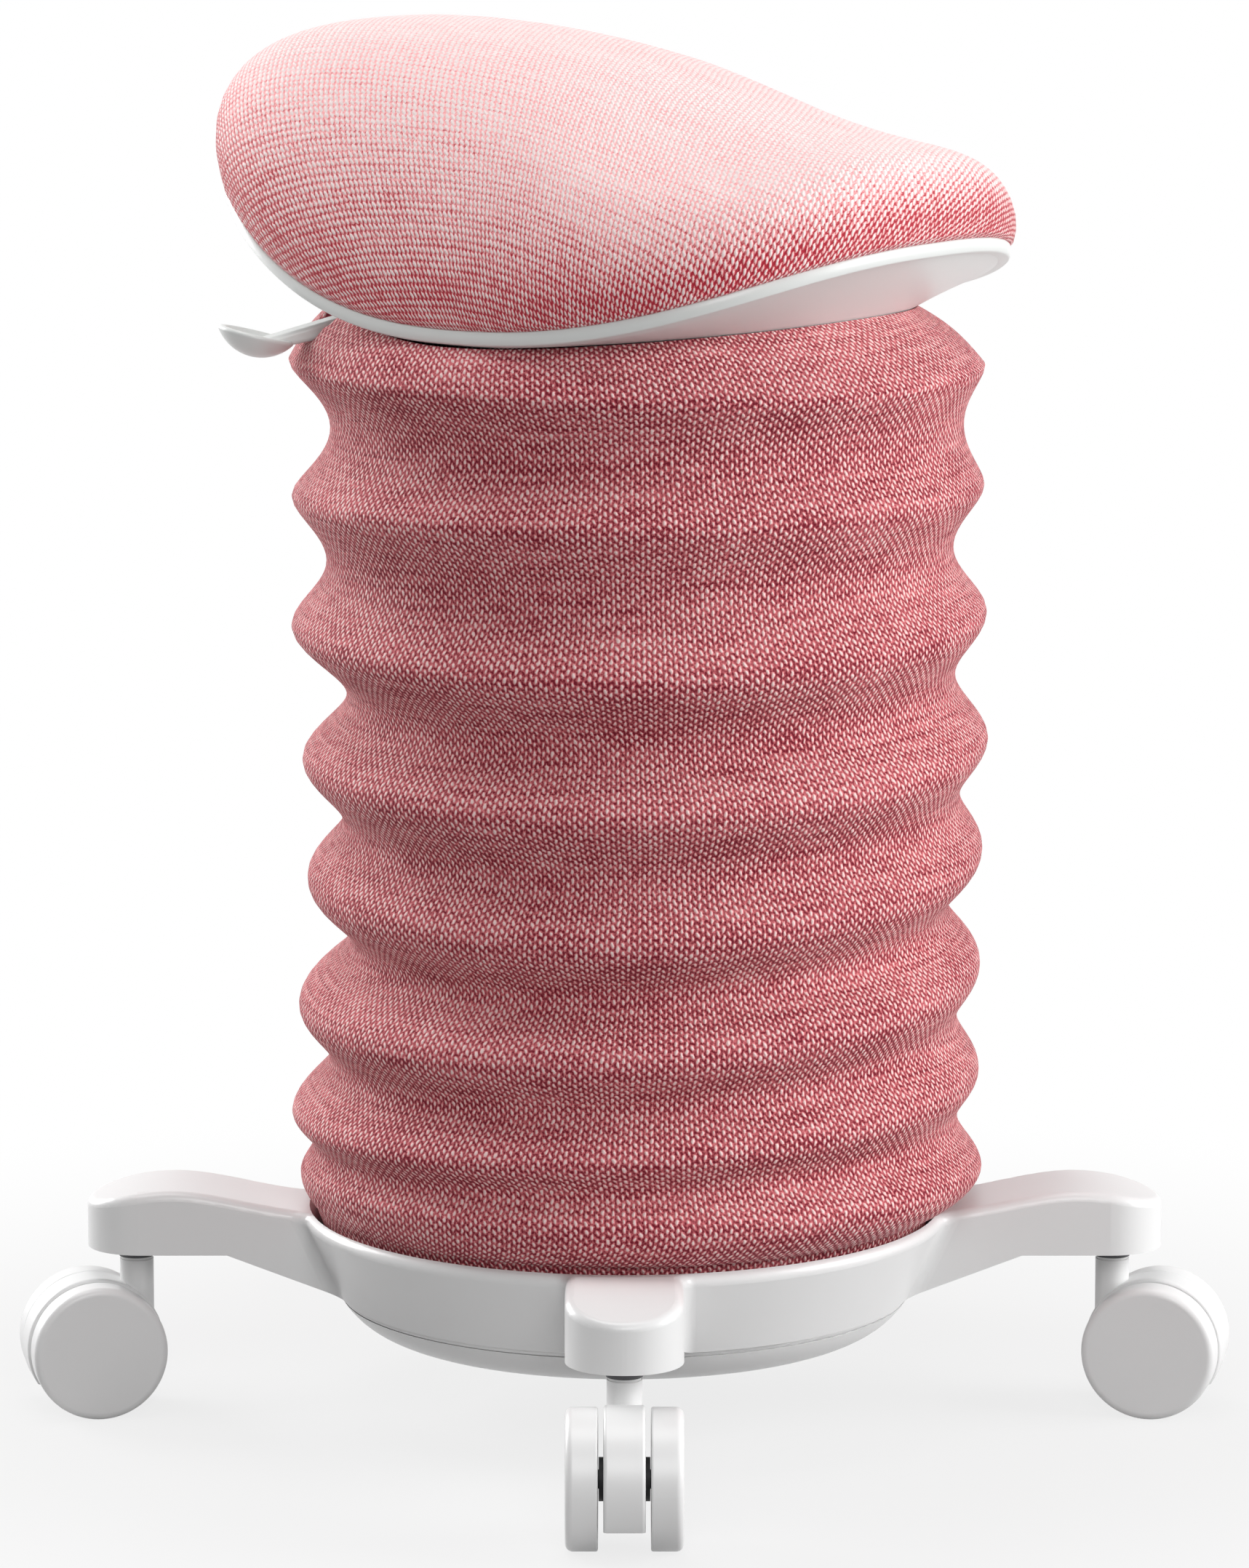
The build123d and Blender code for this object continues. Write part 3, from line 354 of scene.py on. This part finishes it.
print(len(finishes), "finishes on", len(slot_of), "frame nodes")

# %% [markdown]
# The saddle is described in its own coordinates: u runs from the cantle (-1) to the pommel (+1) and v across.
# Its edge rises at both ends, its ridge line dips before the pommel, and each section is an arch between the
# two edges. The same few formulas shape the cushion, the shell under it and the top of the sleeve.

# %% Saddle formulas
seat_yaw = radians(-36)
seat_shift = 6.4 * mm
pommel_reach, cantle_reach, half_width = 157.8 * mm, 185.0 * mm, 136.0 * mm
seat_squareness, arch_power, end_power, rim_power = 2.66, 2.6, 9.0, 2.24
rim_low, pommel_rise, cantle_rise = 496.7 * mm, 35.3 * mm, 81.7 * mm
spine_stations = np.array((-1.0, -0.5, 0.0, 0.5, 1.0))
spine_heights = np.array((623.0, 616.0, 602.4, 578.0, 587.0)) * mm
spine_curve = np.polyfit(spine_stations, spine_heights, 4)


def rim_height(u):
    """Height of the seat's edge."""
    return rim_low + np.where(u > 0, pommel_rise, cantle_rise) * np.abs(u) ** rim_power


def arch(u, v):
    """How far a section has risen from its edge (0) to the ridge (1)."""
    room = np.maximum(1.0 - np.abs(u) ** seat_squareness, 1e-9) ** (1.0 / seat_squareness)
    across = np.minimum(np.abs(v) / room, 1.0)
    ends = np.sqrt(np.maximum(1.0 - np.abs(u) ** end_power, 0.0))
    return ends * np.sqrt(1.0 - across**arch_power)


def seat_point(u, v, z):
    """Frame coordinates of a point given in the seat's own u and v and at a height."""
    along = np.where(u > 0, pommel_reach, cantle_reach) * u + seat_shift
    across = half_width * v
    x = along * cos(seat_yaw) - across * sin(seat_yaw)
    y = along * sin(seat_yaw) + across * cos(seat_yaw)
    return np.stack((x, y, z), axis=-1)


def outline(turn):
    """Unit points of the seat's rounded-square outline."""
    along, across = np.cos(turn), np.sin(turn)
    power = 2.0 / seat_squareness
    return np.sign(along) * np.abs(along) ** power, np.sign(across) * np.abs(across) ** power


print("ridge heights", np.round(np.polyval(spine_curve, spine_stations), 4))

# %% [markdown]
# The cushion is foam under a tight knit cover, with no seam in sight. A grid is pressed into the saddle's
# outline, so its quads run evenly from edge to edge with no pole in the middle, and its last rows turn in
# under the edge. A second grid closes it from below. Its cloth map is the distance along the surface from
# the middle, so the loops keep their size on the steep sides.

# %% Cushion form
cushion_cells = 72
cushion_bulge = 1.03
tuck_rows = ((1.0, 1.03, 0.0), (1.05, 0.99, -0.6), (1.10, 0.955, -0.2), (1.15, 0.93, 0.3))
foam_depth = 38.0 * mm


def cushion_skin(a, b):
    """Upper surface of the cushion over a square grid that reaches past 1 where the cover tucks under."""
    share = np.maximum(np.abs(a), np.abs(b))
    norm = (np.abs(a) ** seat_squareness + np.abs(b) ** seat_squareness) ** (1.0 / seat_squareness)
    norm = np.maximum(norm, 1e-9)
    ray_u, ray_v = a / norm, b / norm
    on_top = np.minimum(share, 1.0)
    u, v = ray_u * on_top, ray_v * on_top
    height = rim_height(u) + (np.polyval(spine_curve, u) - rim_height(u)) * arch(u, v)
    reach, size, drop = zip(*tuck_rows)
    plan = np.where(share < 1.0, cushion_bulge * share, np.interp(share, reach, size))
    height = height + np.interp(share, reach, np.array(drop) * mm)
    return seat_point(ray_u * plan, ray_v * plan, height)


def cushion_floor(a, b):
    """Hidden underside of the cushion, meeting the tucked edge."""
    share = np.maximum(np.abs(a), np.abs(b)) / tuck_rows[-1][0]
    norm = (np.abs(a) ** seat_squareness + np.abs(b) ** seat_squareness) ** (1.0 / seat_squareness)
    norm = np.maximum(norm, 1e-9)
    u, v = a / norm * share, b / norm * share
    edge = rim_height(a / norm) + tuck_rows[-1][2] * mm
    crown = np.polyval(spine_curve, u) - foam_depth
    height = edge + (crown - edge) * arch(u, v)
    size = tuck_rows[-1][1]
    return seat_point(u * size, v * size, height)


def surface_map(a, b, steps=40):
    """Distance along the surface from the middle, laid out in the plan direction."""
    length = np.zeros_like(a)
    last = cushion_skin(a * 0.0, b * 0.0)
    for step in range(1, steps + 1):
        here = cushion_skin(a * step / steps, b * step / steps)
        length += np.linalg.norm(here - last, axis=-1)
        last = here
    flat = np.stack((a * cantle_reach, b * half_width), axis=-1)
    size = np.maximum(np.linalg.norm(flat, axis=-1, keepdims=True), 1e-9)
    return flat / size * length[:, None]


cushion_mesh = bmesh.new()
cloth_layer = cushion_mesh.loops.layers.uv.new("cloth")
reach = tuck_rows[-1][0]
top = bmesh.ops.create_grid(
    cushion_mesh, x_segments=cushion_cells, y_segments=cushion_cells, size=reach
)["verts"]
upper = cushion_mesh.verts[:] + cushion_mesh.edges[:] + cushion_mesh.faces[:]
copied = bmesh.ops.duplicate(cushion_mesh, geom=upper)
bottom = [item for item in copied["geom"] if isinstance(item, bmesh.types.BMVert)]
bottom_faces = [item for item in copied["geom"] if isinstance(item, bmesh.types.BMFace)]
for group, form in ((top, cushion_skin), (bottom, cushion_floor)):
    grid = np.array([vert.co for vert in group])
    cloth_places = surface_map(grid[:, 0], grid[:, 1])
    for vert, place, cloth_place in zip(group, form(grid[:, 0], grid[:, 1]), cloth_places):
        for loop in vert.link_loops:
            loop[cloth_layer].uv = cloth_place
        vert.co = place
bmesh.ops.reverse_faces(cushion_mesh, faces=bottom_faces)
bmesh.ops.remove_doubles(cushion_mesh, verts=cushion_mesh.verts[:], dist=0.05 * mm)
soften(cushion_mesh, radians(70))
cushion = make_piece("cushion", cushion_mesh, lit_seat_knit, "seat", ["seat_cushion"])

# %% [markdown]
# Foam pushes the cover out a little, most on the broad top, and leaves the tucked edge where it is held.
# A short cloth run with inner pressure does this: the underside and the band near the edge are pinned, and
# no point may move further than a cap.

# %% Cushion swell
def swell(piece, pinned, pressure, frames, cap):
    """Blow a closed piece up a little with cloth, keep its pinned points and cap the way of the others."""
    group = piece.vertex_groups.new(name="held")
    group.add(pinned, 1.0, "ADD")
    cloth = piece.modifiers.new("swell", "CLOTH")
    cloth.settings.use_pressure = True
    cloth.settings.uniform_pressure_force = pressure
    cloth.settings.vertex_group_mass = "held"
    cloth.settings.tension_stiffness = 40.0
    cloth.settings.compression_stiffness = 40.0
    cloth.settings.bending_stiffness = 6.0
    cloth.settings.effector_weights.gravity = 0.0
    cloth.point_cache.frame_end = frames
    scene = bpy.context.scene
    for frame_number in range(1, frames + 1):
        scene.frame_set(frame_number)
    graph = bpy.context.evaluated_depsgraph_get()
    blown = [vert.co.copy() for vert in piece.evaluated_get(graph).data.vertices]
    piece.modifiers.remove(cloth)
    scene.frame_set(1)
    largest = 0.0
    for vert, place in zip(piece.data.vertices, blown):
        way = place - vert.co
        largest = max(largest, way.length)
        vert.co += way * min(1.0, cap / max(way.length, 1e-9))
    return largest


def near_edge(vert):
    """Whether a point belongs to the hidden underside or to the band where the cover is held."""
    along = vert.co.x * cos(seat_yaw) + vert.co.y * sin(seat_yaw) - seat_shift
    u = along / (pommel_reach if along > 0 else cantle_reach)
    v = (vert.co.y * cos(seat_yaw) - vert.co.x * sin(seat_yaw)) / half_width
    norm = (abs(u) ** seat_squareness + abs(v) ** seat_squareness) ** (1.0 / seat_squareness)
    return norm > held_from or vert.normal.z < 0


held_from = 0.95
swell_pressure, swell_frames, swell_cap = 2.0, 12, 3.0 * mm
rims = [vert.index for vert in cushion.data.vertices if near_edge(vert)]
swelled = swell(cushion, rims, swell_pressure, swell_frames, swell_cap)
print("cushion swelled by at most", round(swelled / mm, 2), "mm")
mark_upness(cushion)
finer = cushion.modifiers.new("finer", "SUBSURF")
finer.levels = 1
finer.render_levels = 1

# %% [markdown]
# The shell is a thin white bowl. Its lip runs round the cushion, its wall then slopes in to a round floor.
# A grid of rings, from the inner floor over the lip and back under, is rolled up into a closed skin.

# %% Shell form
shell_floor, shell_floor_radius, shell_wall = 488.5 * mm, 115.0 * mm, 3.2 * mm
lip_height, lip_thickness, lip_crease, crease_step = 6.5 * mm, 0.05, 0.035, 1.0 * mm
shell_hole = 30.0 * mm
shell_segments = 240


def rolled_grid(mesh_data, rows, segments):
    """A grid whose columns go once round; returns the verts of each row and the turn of each column."""
    made = bmesh.ops.create_grid(mesh_data, x_segments=segments, y_segments=rows - 1, size=1.0)["verts"]
    made.sort(key=lambda vert: (round(vert.co.y, 5), vert.co.x))
    turns = np.linspace(0.0, 2.0 * pi, segments + 1)
    return [made[row * (segments + 1):(row + 1) * (segments + 1)] for row in range(rows)], turns


def level_ring(turn, size, rise):
    """A ring at a size of the outline, a rise above the seat's edge."""
    u, v = outline(turn)
    return seat_point(u * size, v * size, rim_height(u) + rise)


def toward_floor(ring, share, radius, height):
    """A ring part of the way from another ring to the round floor, straight towards the axis."""
    foot = ring.copy()
    foot[:, :2] *= radius / np.linalg.norm(ring[:, :2], axis=1, keepdims=True)
    foot[:, 2] = height
    return ring + (foot - ring) * share


def shell_rings(turn):
    """All the rings of the shell, from the hole in its floor up inside, over the lip and back below."""
    inner, crease = 1.0 - lip_thickness, 1.0 - lip_crease
    drop = lip_height + crease_step
    under = level_ring(turn, crease, -drop)
    inside = level_ring(turn, inner, shell_wall - drop)
    rings = [toward_floor(inside, 1.0, shell_hole, shell_floor + shell_wall)]
    for share in (1.0, 0.8, 0.6, 0.4, 0.2, 0.0):
        rings.append(toward_floor(inside, share, shell_floor_radius - shell_wall, shell_floor + shell_wall))
    edge = 0.9 * mm
    for size, rise in ((inner, -edge), (inner + 0.006, 0.0), (0.994, 0.0), (1.0, -edge)):
        rings.append(level_ring(turn, size, rise))
    turn_in = (crease + 0.004, -lip_height - 0.5 * mm)
    for size, rise in ((1.0, edge - lip_height), (0.994, -lip_height), turn_in):
        rings.append(level_ring(turn, size, rise))
    for share in (0.0, 0.2, 0.4, 0.6, 0.8, 0.94, 1.0):
        rings.append(toward_floor(under, share, shell_floor_radius, shell_floor))
    rings.append(toward_floor(under, 1.0, shell_hole, shell_floor))
    rings.append(rings[0])
    return rings


shell_mesh = bmesh.new()
ring_count = len(shell_rings(np.zeros(1)))
rows, turns = rolled_grid(shell_mesh, ring_count, shell_segments)
for row, ring in zip(rows, shell_rings(turns)):
    for vert, place in zip(row, ring):
        vert.co = place
bmesh.ops.remove_doubles(shell_mesh, verts=shell_mesh.verts[:], dist=0.01 * mm)
bmesh.ops.recalc_face_normals(shell_mesh, faces=shell_mesh.faces[:])
soften(shell_mesh, radians(50))
shell = make_piece("shell", shell_mesh, finishes["shell_plastic"], "seat", ["seat_shell"])

# %% [markdown]
# The lever's bar comes out through a slot in the shell, so that it can tip. A box, a little wider than the
# bar, is cut from the shell's wall there.

# %% Lever slot
lever_angle = radians(192.0)
slot_middle, slot_length, slot_width = 116.0 * mm, 52.0 * mm, 19.0 * mm
slot_low, slot_high = 480.0 * mm, 504.0 * mm


def cut_box(piece, centre, size, turn):
    """Cut a turned box out of a piece."""
    cutter_mesh = bmesh.new()
    bmesh.ops.create_cube(cutter_mesh, size=1.0)
    bmesh.ops.scale(cutter_mesh, vec=size, verts=cutter_mesh.verts[:])
    mesh = bpy.data.meshes.new("cutter")
    cutter_mesh.to_mesh(mesh)
    cutter_mesh.free()
    cutter = bpy.data.objects.new("cutter", mesh)
    bpy.context.scene.collection.objects.link(cutter)
    cutter.location = centre
    cutter.rotation_euler = (0.0, 0.0, turn)
    cut = piece.modifiers.new("cut", "BOOLEAN")
    cut.operation = "DIFFERENCE"
    cut.object = cutter
    bpy.context.view_layer.update()
    graph = bpy.context.evaluated_depsgraph_get()
    made = bpy.data.meshes.new_from_object(piece.evaluated_get(graph))
    piece.modifiers.remove(cut)
    old = piece.data
    piece.data = made
    bpy.data.meshes.remove(old)
    bpy.data.objects.remove(cutter)
    bpy.data.meshes.remove(mesh)


slot_centre = (slot_middle * cos(lever_angle), slot_middle * sin(lever_angle), (slot_low + slot_high) / 2)
cut_box(shell, slot_centre, (slot_length, slot_width, slot_high - slot_low), lever_angle)
print("shell after its slot", len(shell.data.polygons), "faces")

# %% [markdown]
# The sleeve is one knit tube pulled over eight hoops. Between two hoops the cloth is drawn in by its own
# tension, mostly deeper on the left, and each hoop hangs a little out of level. Its hem turns in under the
# lowest hoop and stands inside the hub, and its top runs up to the shell's underside.

# %% Sleeve form
hoop_heights = np.array((110.0, 146.5, 195.0, 249.5, 300.0, 358.0, 414.5, 471.0)) * mm
hoop_left_drops = np.array((3.3, 19.5, 18.0, 13.0, 9.8, 6.5, 5.2, -2.6)) * mm
hoop_front_drops = np.array((-5.0, 3.0, 9.0, 12.0, 8.7, 8.0, -1.0, 1.0)) * mm
hoop_leans = np.array((7.4, 4.8, 6.6, 9.0, 9.1, 6.4, 5.9, 5.4)) * mm
hoop_radii = np.array((151.6, 152.6, 151.0, 149.2, 151.2, 152.9, 151.9, 152.3)) * mm
right_valleys = np.array((10.3, 10.1, 14.6, 11.2, 14.2, 14.1, 9.1)) * mm
left_valleys = np.array((7.1, 15.0, 20.9, 16.5, 21.9, 15.3, 17.5)) * mm
fold_powers = (2.0, 2.1, 2.3, 1.8, 1.55, 1.2, 0.95)
ridge_roundness = 0.28
sleeve_segments = 288
rows_per_gap = 18
hem_rows = 20
top_rows = 12
hem_heights = np.array((63.6, 85.0, 96.0)) * mm
hem_radii = np.array((121.0, 134.0, 138.0)) * mm
top_radius, top_height = 119.0 * mm, 504.0 * mm
shell_gap = 0.5 * mm
bar_reach, bar_under = np.array((52.0, 122.0, 160.0)) * mm, np.array((506.7, 486.0, 479.2)) * mm
bar_room, slit_half, slit_slope = 1.2 * mm, 7.5 * mm, 2.2
hem_straight = 0.5
top_bulge = 1.5 * mm


def hoop_tilt(turn, index):
    """How much higher or lower a hoop is at a turn, by its tilt to the left and to the front."""
    return hoop_left_drops[index] / 2 * np.cos(turn) + hoop_front_drops[index] * np.sin(turn)


def shell_under(turn):
    """Radius and height of the shell's crease at a turn about the upright axis."""
    around_seat = np.linspace(0.0, 2.0 * pi, 1441)
    ring = level_ring(around_seat, 1.0 - lip_crease, -lip_height - crease_step)
    angle = np.arctan2(ring[:, 1], ring[:, 0])
    order = np.argsort(angle)
    radius = np.linalg.norm(ring[:, :2], axis=1)
    wrapped = (turn + pi) % (2.0 * pi) - pi
    crease_radius = np.interp(wrapped, angle[order], radius[order], period=2.0 * pi)
    crease_height = np.interp(wrapped, angle[order], ring[order, 2], period=2.0 * pi)
    return crease_radius, crease_height


def fold(share, power):
    """Depth of a fold between two hoops, 0 at the hoops and 1 half way, with rounded ridges."""
    soft = ridge_roundness**power
    full = (1.0 + ridge_roundness**2) ** (power / 2)
    return ((np.sin(pi * share) ** 2 + ridge_roundness**2) ** (power / 2) - soft) / (full - soft)


def under_bar(x, y):
    """Height that the cloth stays below so that the lever's bar can pass over it."""
    along = x * cos(lever_angle) + y * sin(lever_angle)
    aside = np.abs(y * cos(lever_angle) - x * sin(lever_angle))
    below = np.interp(along, bar_reach, bar_under) - bar_room
    below = below + slit_slope * np.maximum(aside - slit_half, 0.0)
    return np.where(along > 0.0, below, 1.0)


def sleeve_rings(turn):
    """Rings of the sleeve from its hem to its top: radius, height and sideways lean over the turns."""
    rightness = 0.5 + 0.5 * np.cos(turn)
    level = 0.0 * turn
    rings = []
    first = hoop_heights[0] + hoop_tilt(turn, 0)
    for step in range(hem_rows):
        share = step / hem_rows
        straight = np.linspace(0.0, hem_straight, len(hem_heights))
        swing = max(share - hem_straight, 0.0) / (1.0 - hem_straight) * pi / 2
        radius = np.interp(share, straight, hem_radii)
        radius = radius + (hoop_radii[0] - hem_radii[-1]) * sin(swing) ** 1.2
        height = np.interp(share, straight, hem_heights)
        height = height + (first - hem_heights[-1]) * (1.0 - cos(swing)) ** 0.8
        rings.append((radius + level, height + level, hoop_leans[0] * sin(swing) + level))
    for gap in range(len(hoop_heights) - 1):
        low = hoop_heights[gap] + hoop_tilt(turn, gap)
        high = hoop_heights[gap + 1] + hoop_tilt(turn, gap + 1)
        depth = left_valleys[gap] + (right_valleys[gap] - left_valleys[gap]) * rightness
        for step in range(rows_per_gap):
            share = step / rows_per_gap
            ridge = hoop_radii[gap] + (hoop_radii[gap + 1] - hoop_radii[gap]) * share
            lean = hoop_leans[gap] + (hoop_leans[gap + 1] - hoop_leans[gap]) * share
            radius = ridge - depth * fold(share, fold_powers[gap])
            rings.append((radius, low + (high - low) * share, lean + level))
    crease_radius, crease_height = shell_under(turn)
    last = hoop_heights[-1] + hoop_tilt(turn, -1)
    ridge = hoop_radii[-1]
    slope = (crease_height - shell_floor) / np.maximum(crease_radius - shell_floor_radius, 1e-6)
    rise = (top_height - last) / (ridge - top_radius)
    meet = (last + rise * ridge - shell_floor + slope * shell_floor_radius + shell_gap) / (slope + rise)
    meet = np.clip(meet, shell_floor_radius, ridge - 6.0 * mm)
    meet_height = last + rise * (ridge - meet)
    for step in range(top_rows + 1):
        share = step / top_rows
        bulge = top_bulge * np.sin(pi * share)
        radius = ridge + (meet - ridge) * share + bulge
        lean = hoop_leans[-1] * (1.0 - share)
        rings.append((radius, last + (meet_height - last) * share + bulge, lean + level))
    return rings


sleeve_mesh = bmesh.new()
sleeve_cloth = sleeve_mesh.loops.layers.uv.new("cloth")
ring_total = len(sleeve_rings(np.zeros(1)))
rows, turns = rolled_grid(sleeve_mesh, ring_total, sleeve_segments)
length = np.zeros_like(turns)
last_ring = None
for row, (radius, height, lean) in zip(rows, sleeve_rings(turns)):
    x, y = radius * np.cos(turns) + lean, radius * np.sin(turns)
    ring = np.stack((x, y, np.minimum(height, under_bar(x, y))), axis=-1)
    if last_ring is not None:
        length = length + np.linalg.norm(ring - last_ring, axis=1)
    last_ring = ring
    for vert, place, turn, way in zip(row, ring, turns, length):
        for loop in vert.link_loops:
            loop[sleeve_cloth].uv = (turn * hoop_radii[0], way)
        vert.co = place
bmesh.ops.remove_doubles(sleeve_mesh, verts=sleeve_mesh.verts[:], dist=0.01 * mm)
bmesh.ops.recalc_face_normals(sleeve_mesh, faces=sleeve_mesh.faces[:])
soften(sleeve_mesh, radians(80))
sleeve = make_piece("knit_sleeve", sleeve_mesh, shaded_sleeve_knit, None, ["sleeve"])
mark_upness(sleeve)
thickness = sleeve.modifiers.new("thickness", "SOLIDIFY")
thickness.thickness = 1.6 * mm
thickness.offset = -1.0
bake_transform(sleeve)

# %% [markdown]
# The hoops sit inside the ridges.

# %% Hoops
hoop_section = 1.5 * mm
hoop_inset = 4.5 * mm
hoop_steps = 96
hoop_mesh = bmesh.new()
for index, height in enumerate(hoop_heights):
    ring = bmesh.ops.create_circle(hoop_mesh, segments=8, radius=hoop_section)["verts"]
    bmesh.ops.rotate(hoop_mesh, verts=ring, cent=(0, 0, 0), matrix=Matrix.Rotation(pi / 2, 3, "X"))
    bmesh.ops.translate(hoop_mesh, verts=ring, vec=(hoop_radii[index] - hoop_inset, 0.0, 0.0))
    loop_edges = [edge for edge in hoop_mesh.edges if all(vert in ring for vert in edge.verts)]
    section = ring + loop_edges
    bmesh.ops.spin(
        hoop_mesh, geom=section, cent=(0, 0, 0), axis=(0, 0, 1), angle=2 * pi, steps=hoop_steps, use_merge=True
    )
    made = [vert for vert in hoop_mesh.verts if vert.co.z < 5 * hoop_section]
    for vert in made:
        turn = np.arctan2(vert.co.y, vert.co.x)
        vert.co.z += height + hoop_tilt(turn, index)
        vert.co.x += hoop_leans[index]
bmesh.ops.remove_doubles(hoop_mesh, verts=hoop_mesh.verts[:], dist=0.01 * mm)
bmesh.ops.recalc_face_normals(hoop_mesh, faces=hoop_mesh.faces[:])
soften(hoop_mesh)
hoops = make_piece("hoops", hoop_mesh, finishes["dark_plastic"], None, ["sleeve_hoops"])
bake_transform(hoops)

# %% [markdown]
# A dark line shows at the top of each caster's neck, just under the arm. It is painted shade for the dark gap
# there, and stands also for the stem's steel collar: a short dark ring round the neck that turns with its
# caster, a small rectangle spun about the stem's axis.

# %% Neck rings of painted shade
collar_outer, collar_wall, collar_height = 7.8 * mm, 0.7 * mm, 3.5 * mm
collar_over_neck = 0.6 * mm
collar_steps = 48


def neck_shade_ring(side):
    """The dark ring of one caster, painted shade that stands also for its steel collar, placed by the boxes of
    its stem and its hood.
    """
    stem_low, stem_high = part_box(f"caster_stem_{side}")
    hood_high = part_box(f"caster_hood_{side}")[1]
    axis = ((stem_low[0] + stem_high[0]) / 2, (stem_low[1] + stem_high[1]) / 2, 0.0)
    middle = hood_high[2] + collar_over_neck - collar_height / 2
    mesh_data = bmesh.new()
    corners = bmesh.ops.create_grid(mesh_data, x_segments=1, y_segments=1, size=0.5)["verts"]
    bmesh.ops.delete(mesh_data, geom=mesh_data.faces[:], context="FACES_ONLY")
    bmesh.ops.scale(mesh_data, vec=(collar_wall, collar_height, 1.0), verts=corners)
    bmesh.ops.rotate(mesh_data, verts=corners, cent=(0, 0, 0), matrix=Matrix.Rotation(pi / 2, 3, "X"))
    out = axis[0] + collar_outer - collar_wall / 2
    bmesh.ops.translate(mesh_data, verts=corners, vec=(out, axis[1], middle))
    section = corners + mesh_data.edges[:]
    bmesh.ops.spin(
        mesh_data, geom=section, cent=axis, axis=(0, 0, 1), angle=2 * pi, steps=collar_steps, use_merge=True
    )
    bmesh.ops.recalc_face_normals(mesh_data, faces=mesh_data.faces[:])
    soften(mesh_data)
    make_piece(f"neck_shade_ring_{side}", mesh_data, finishes["dark_plastic"], f"caster_{side}")


for side in ("front", "right", "back", "left"):
    neck_shade_ring(side)

# %% [markdown]
# The floor is a pale sheet that keeps the stool's soft shadow. Far from the stool it turns to plain white
# for the camera, so that no horizon shows.

# %% Floor
floor_mesh = bmesh.new()
bmesh.ops.create_grid(floor_mesh, x_segments=1, y_segments=1, size=25.0)
floor_data = bpy.data.meshes.new("floor")
floor_mesh.to_mesh(floor_data)
floor_mesh.free()
floor = bpy.data.objects.new("floor", floor_data)
bpy.context.scene.collection.objects.link(floor)
floor_finish, tree, shader = start_finish("floor_pale", 0.9, 0.1)
shader.inputs["Base Color"].default_value = (0.42, 0.42, 0.42, 1.0)
place = add(tree, "ShaderNodeTexCoord").outputs["Object"]
away = add(tree, "ShaderNodeVectorMath", operation="LENGTH")
tree.links.new(place, away.inputs[0])
fade = add(tree, "ShaderNodeMapRange", interpolation_type="SMOOTHSTEP")
fade.inputs["From Min"].default_value = 0.2
fade.inputs["From Max"].default_value = 0.65
fade.inputs["To Min"].default_value = 0.8
tree.links.new(away.outputs["Value"], fade.inputs["Value"])
rays = add(tree, "ShaderNodeLightPath")
seen = calc(tree, "MAXIMUM", rays.outputs["Is Camera Ray"], rays.outputs["Is Glossy Ray"])
white = add(tree, "ShaderNodeEmission")
blend = add(tree, "ShaderNodeMixShader")
tree.links.new(calc(tree, "MULTIPLY", fade.outputs["Result"], seen), blend.inputs["Fac"])
tree.links.new(shader.outputs["BSDF"], blend.inputs[1])
tree.links.new(white.outputs["Emission"], blend.inputs[2])
tree.links.new(blend.outputs["Shader"], tree.nodes["Material Output"].inputs["Surface"])
floor_data.materials.append(floor_finish)
print("floor laid")

# %% [markdown]
# The light is that of a product studio: a broad lamp above, a strong soft box on the right, a weaker one on
# the left and only a little from the front, so the sleeve's folds model themselves from side to side.

# %% Light
def soft_box(name, place, target, size, watts):
    """A square lamp that looks at a point."""
    lamp = bpy.data.lights.new(name, "AREA")
    lamp.energy = watts
    lamp.size = size
    box = bpy.data.objects.new(name, lamp)
    bpy.context.scene.collection.objects.link(box)
    box.location = place
    box.rotation_euler = (Vector(target) - Vector(place)).to_track_quat("-Z", "Y").to_euler()


soft_box("top_lamp", (-0.3, -0.1, 2.5), (0.0, 0.0, 0.4), 1.4, 25.5)
soft_box("right_lamp", (2.2, -0.3, 0.95), (0.0, 0.0, 0.35), 1.3, 52.0)
soft_box("left_lamp", (-1.75, 1.25, 1.0), (0.0, 0.0, 0.35), 1.2, 51.0)
soft_box("front_lamp", (0.2, -2.6, 1.6), (0.0, 0.0, 0.25), 1.2, 29.0)
world = bpy.data.worlds.new("studio")
bpy.context.scene.world = world
world.use_nodes = True
tree = world.node_tree
background = tree.nodes["Background"]
rays = add(tree, "ShaderNodeLightPath")
seen = calc(tree, "MAXIMUM", rays.outputs["Is Camera Ray"], rays.outputs["Is Glossy Ray"])
seen = calc(tree, "MAXIMUM", seen, rays.outputs["Is Transmission Ray"])
tree.links.new(calc(tree, "MULTIPLY_ADD", seen, 0.92, 0.08), background.inputs["Strength"])
background.inputs["Color"].default_value = (1.0, 1.0, 1.0, 1.0)
bpy.context.scene.view_settings.view_transform = "Standard"
print("lamps lit")

# %% [markdown]
# The camera stands well back with a long lens, a little above the seat, and looks slightly down.

# %% Camera
camera_data = bpy.data.cameras.new("camera")
camera_data.lens = 168.6
camera_data.sensor_width = 36.0
camera = bpy.data.objects.new("camera", camera_data)
bpy.context.scene.collection.objects.link(camera)
camera.location = (0.0, -3.2, 0.8326)
camera.rotation_euler = (radians(90.0 - 9.754), 0.0, 0.0)
bpy.context.scene.camera = camera
print("camera set")
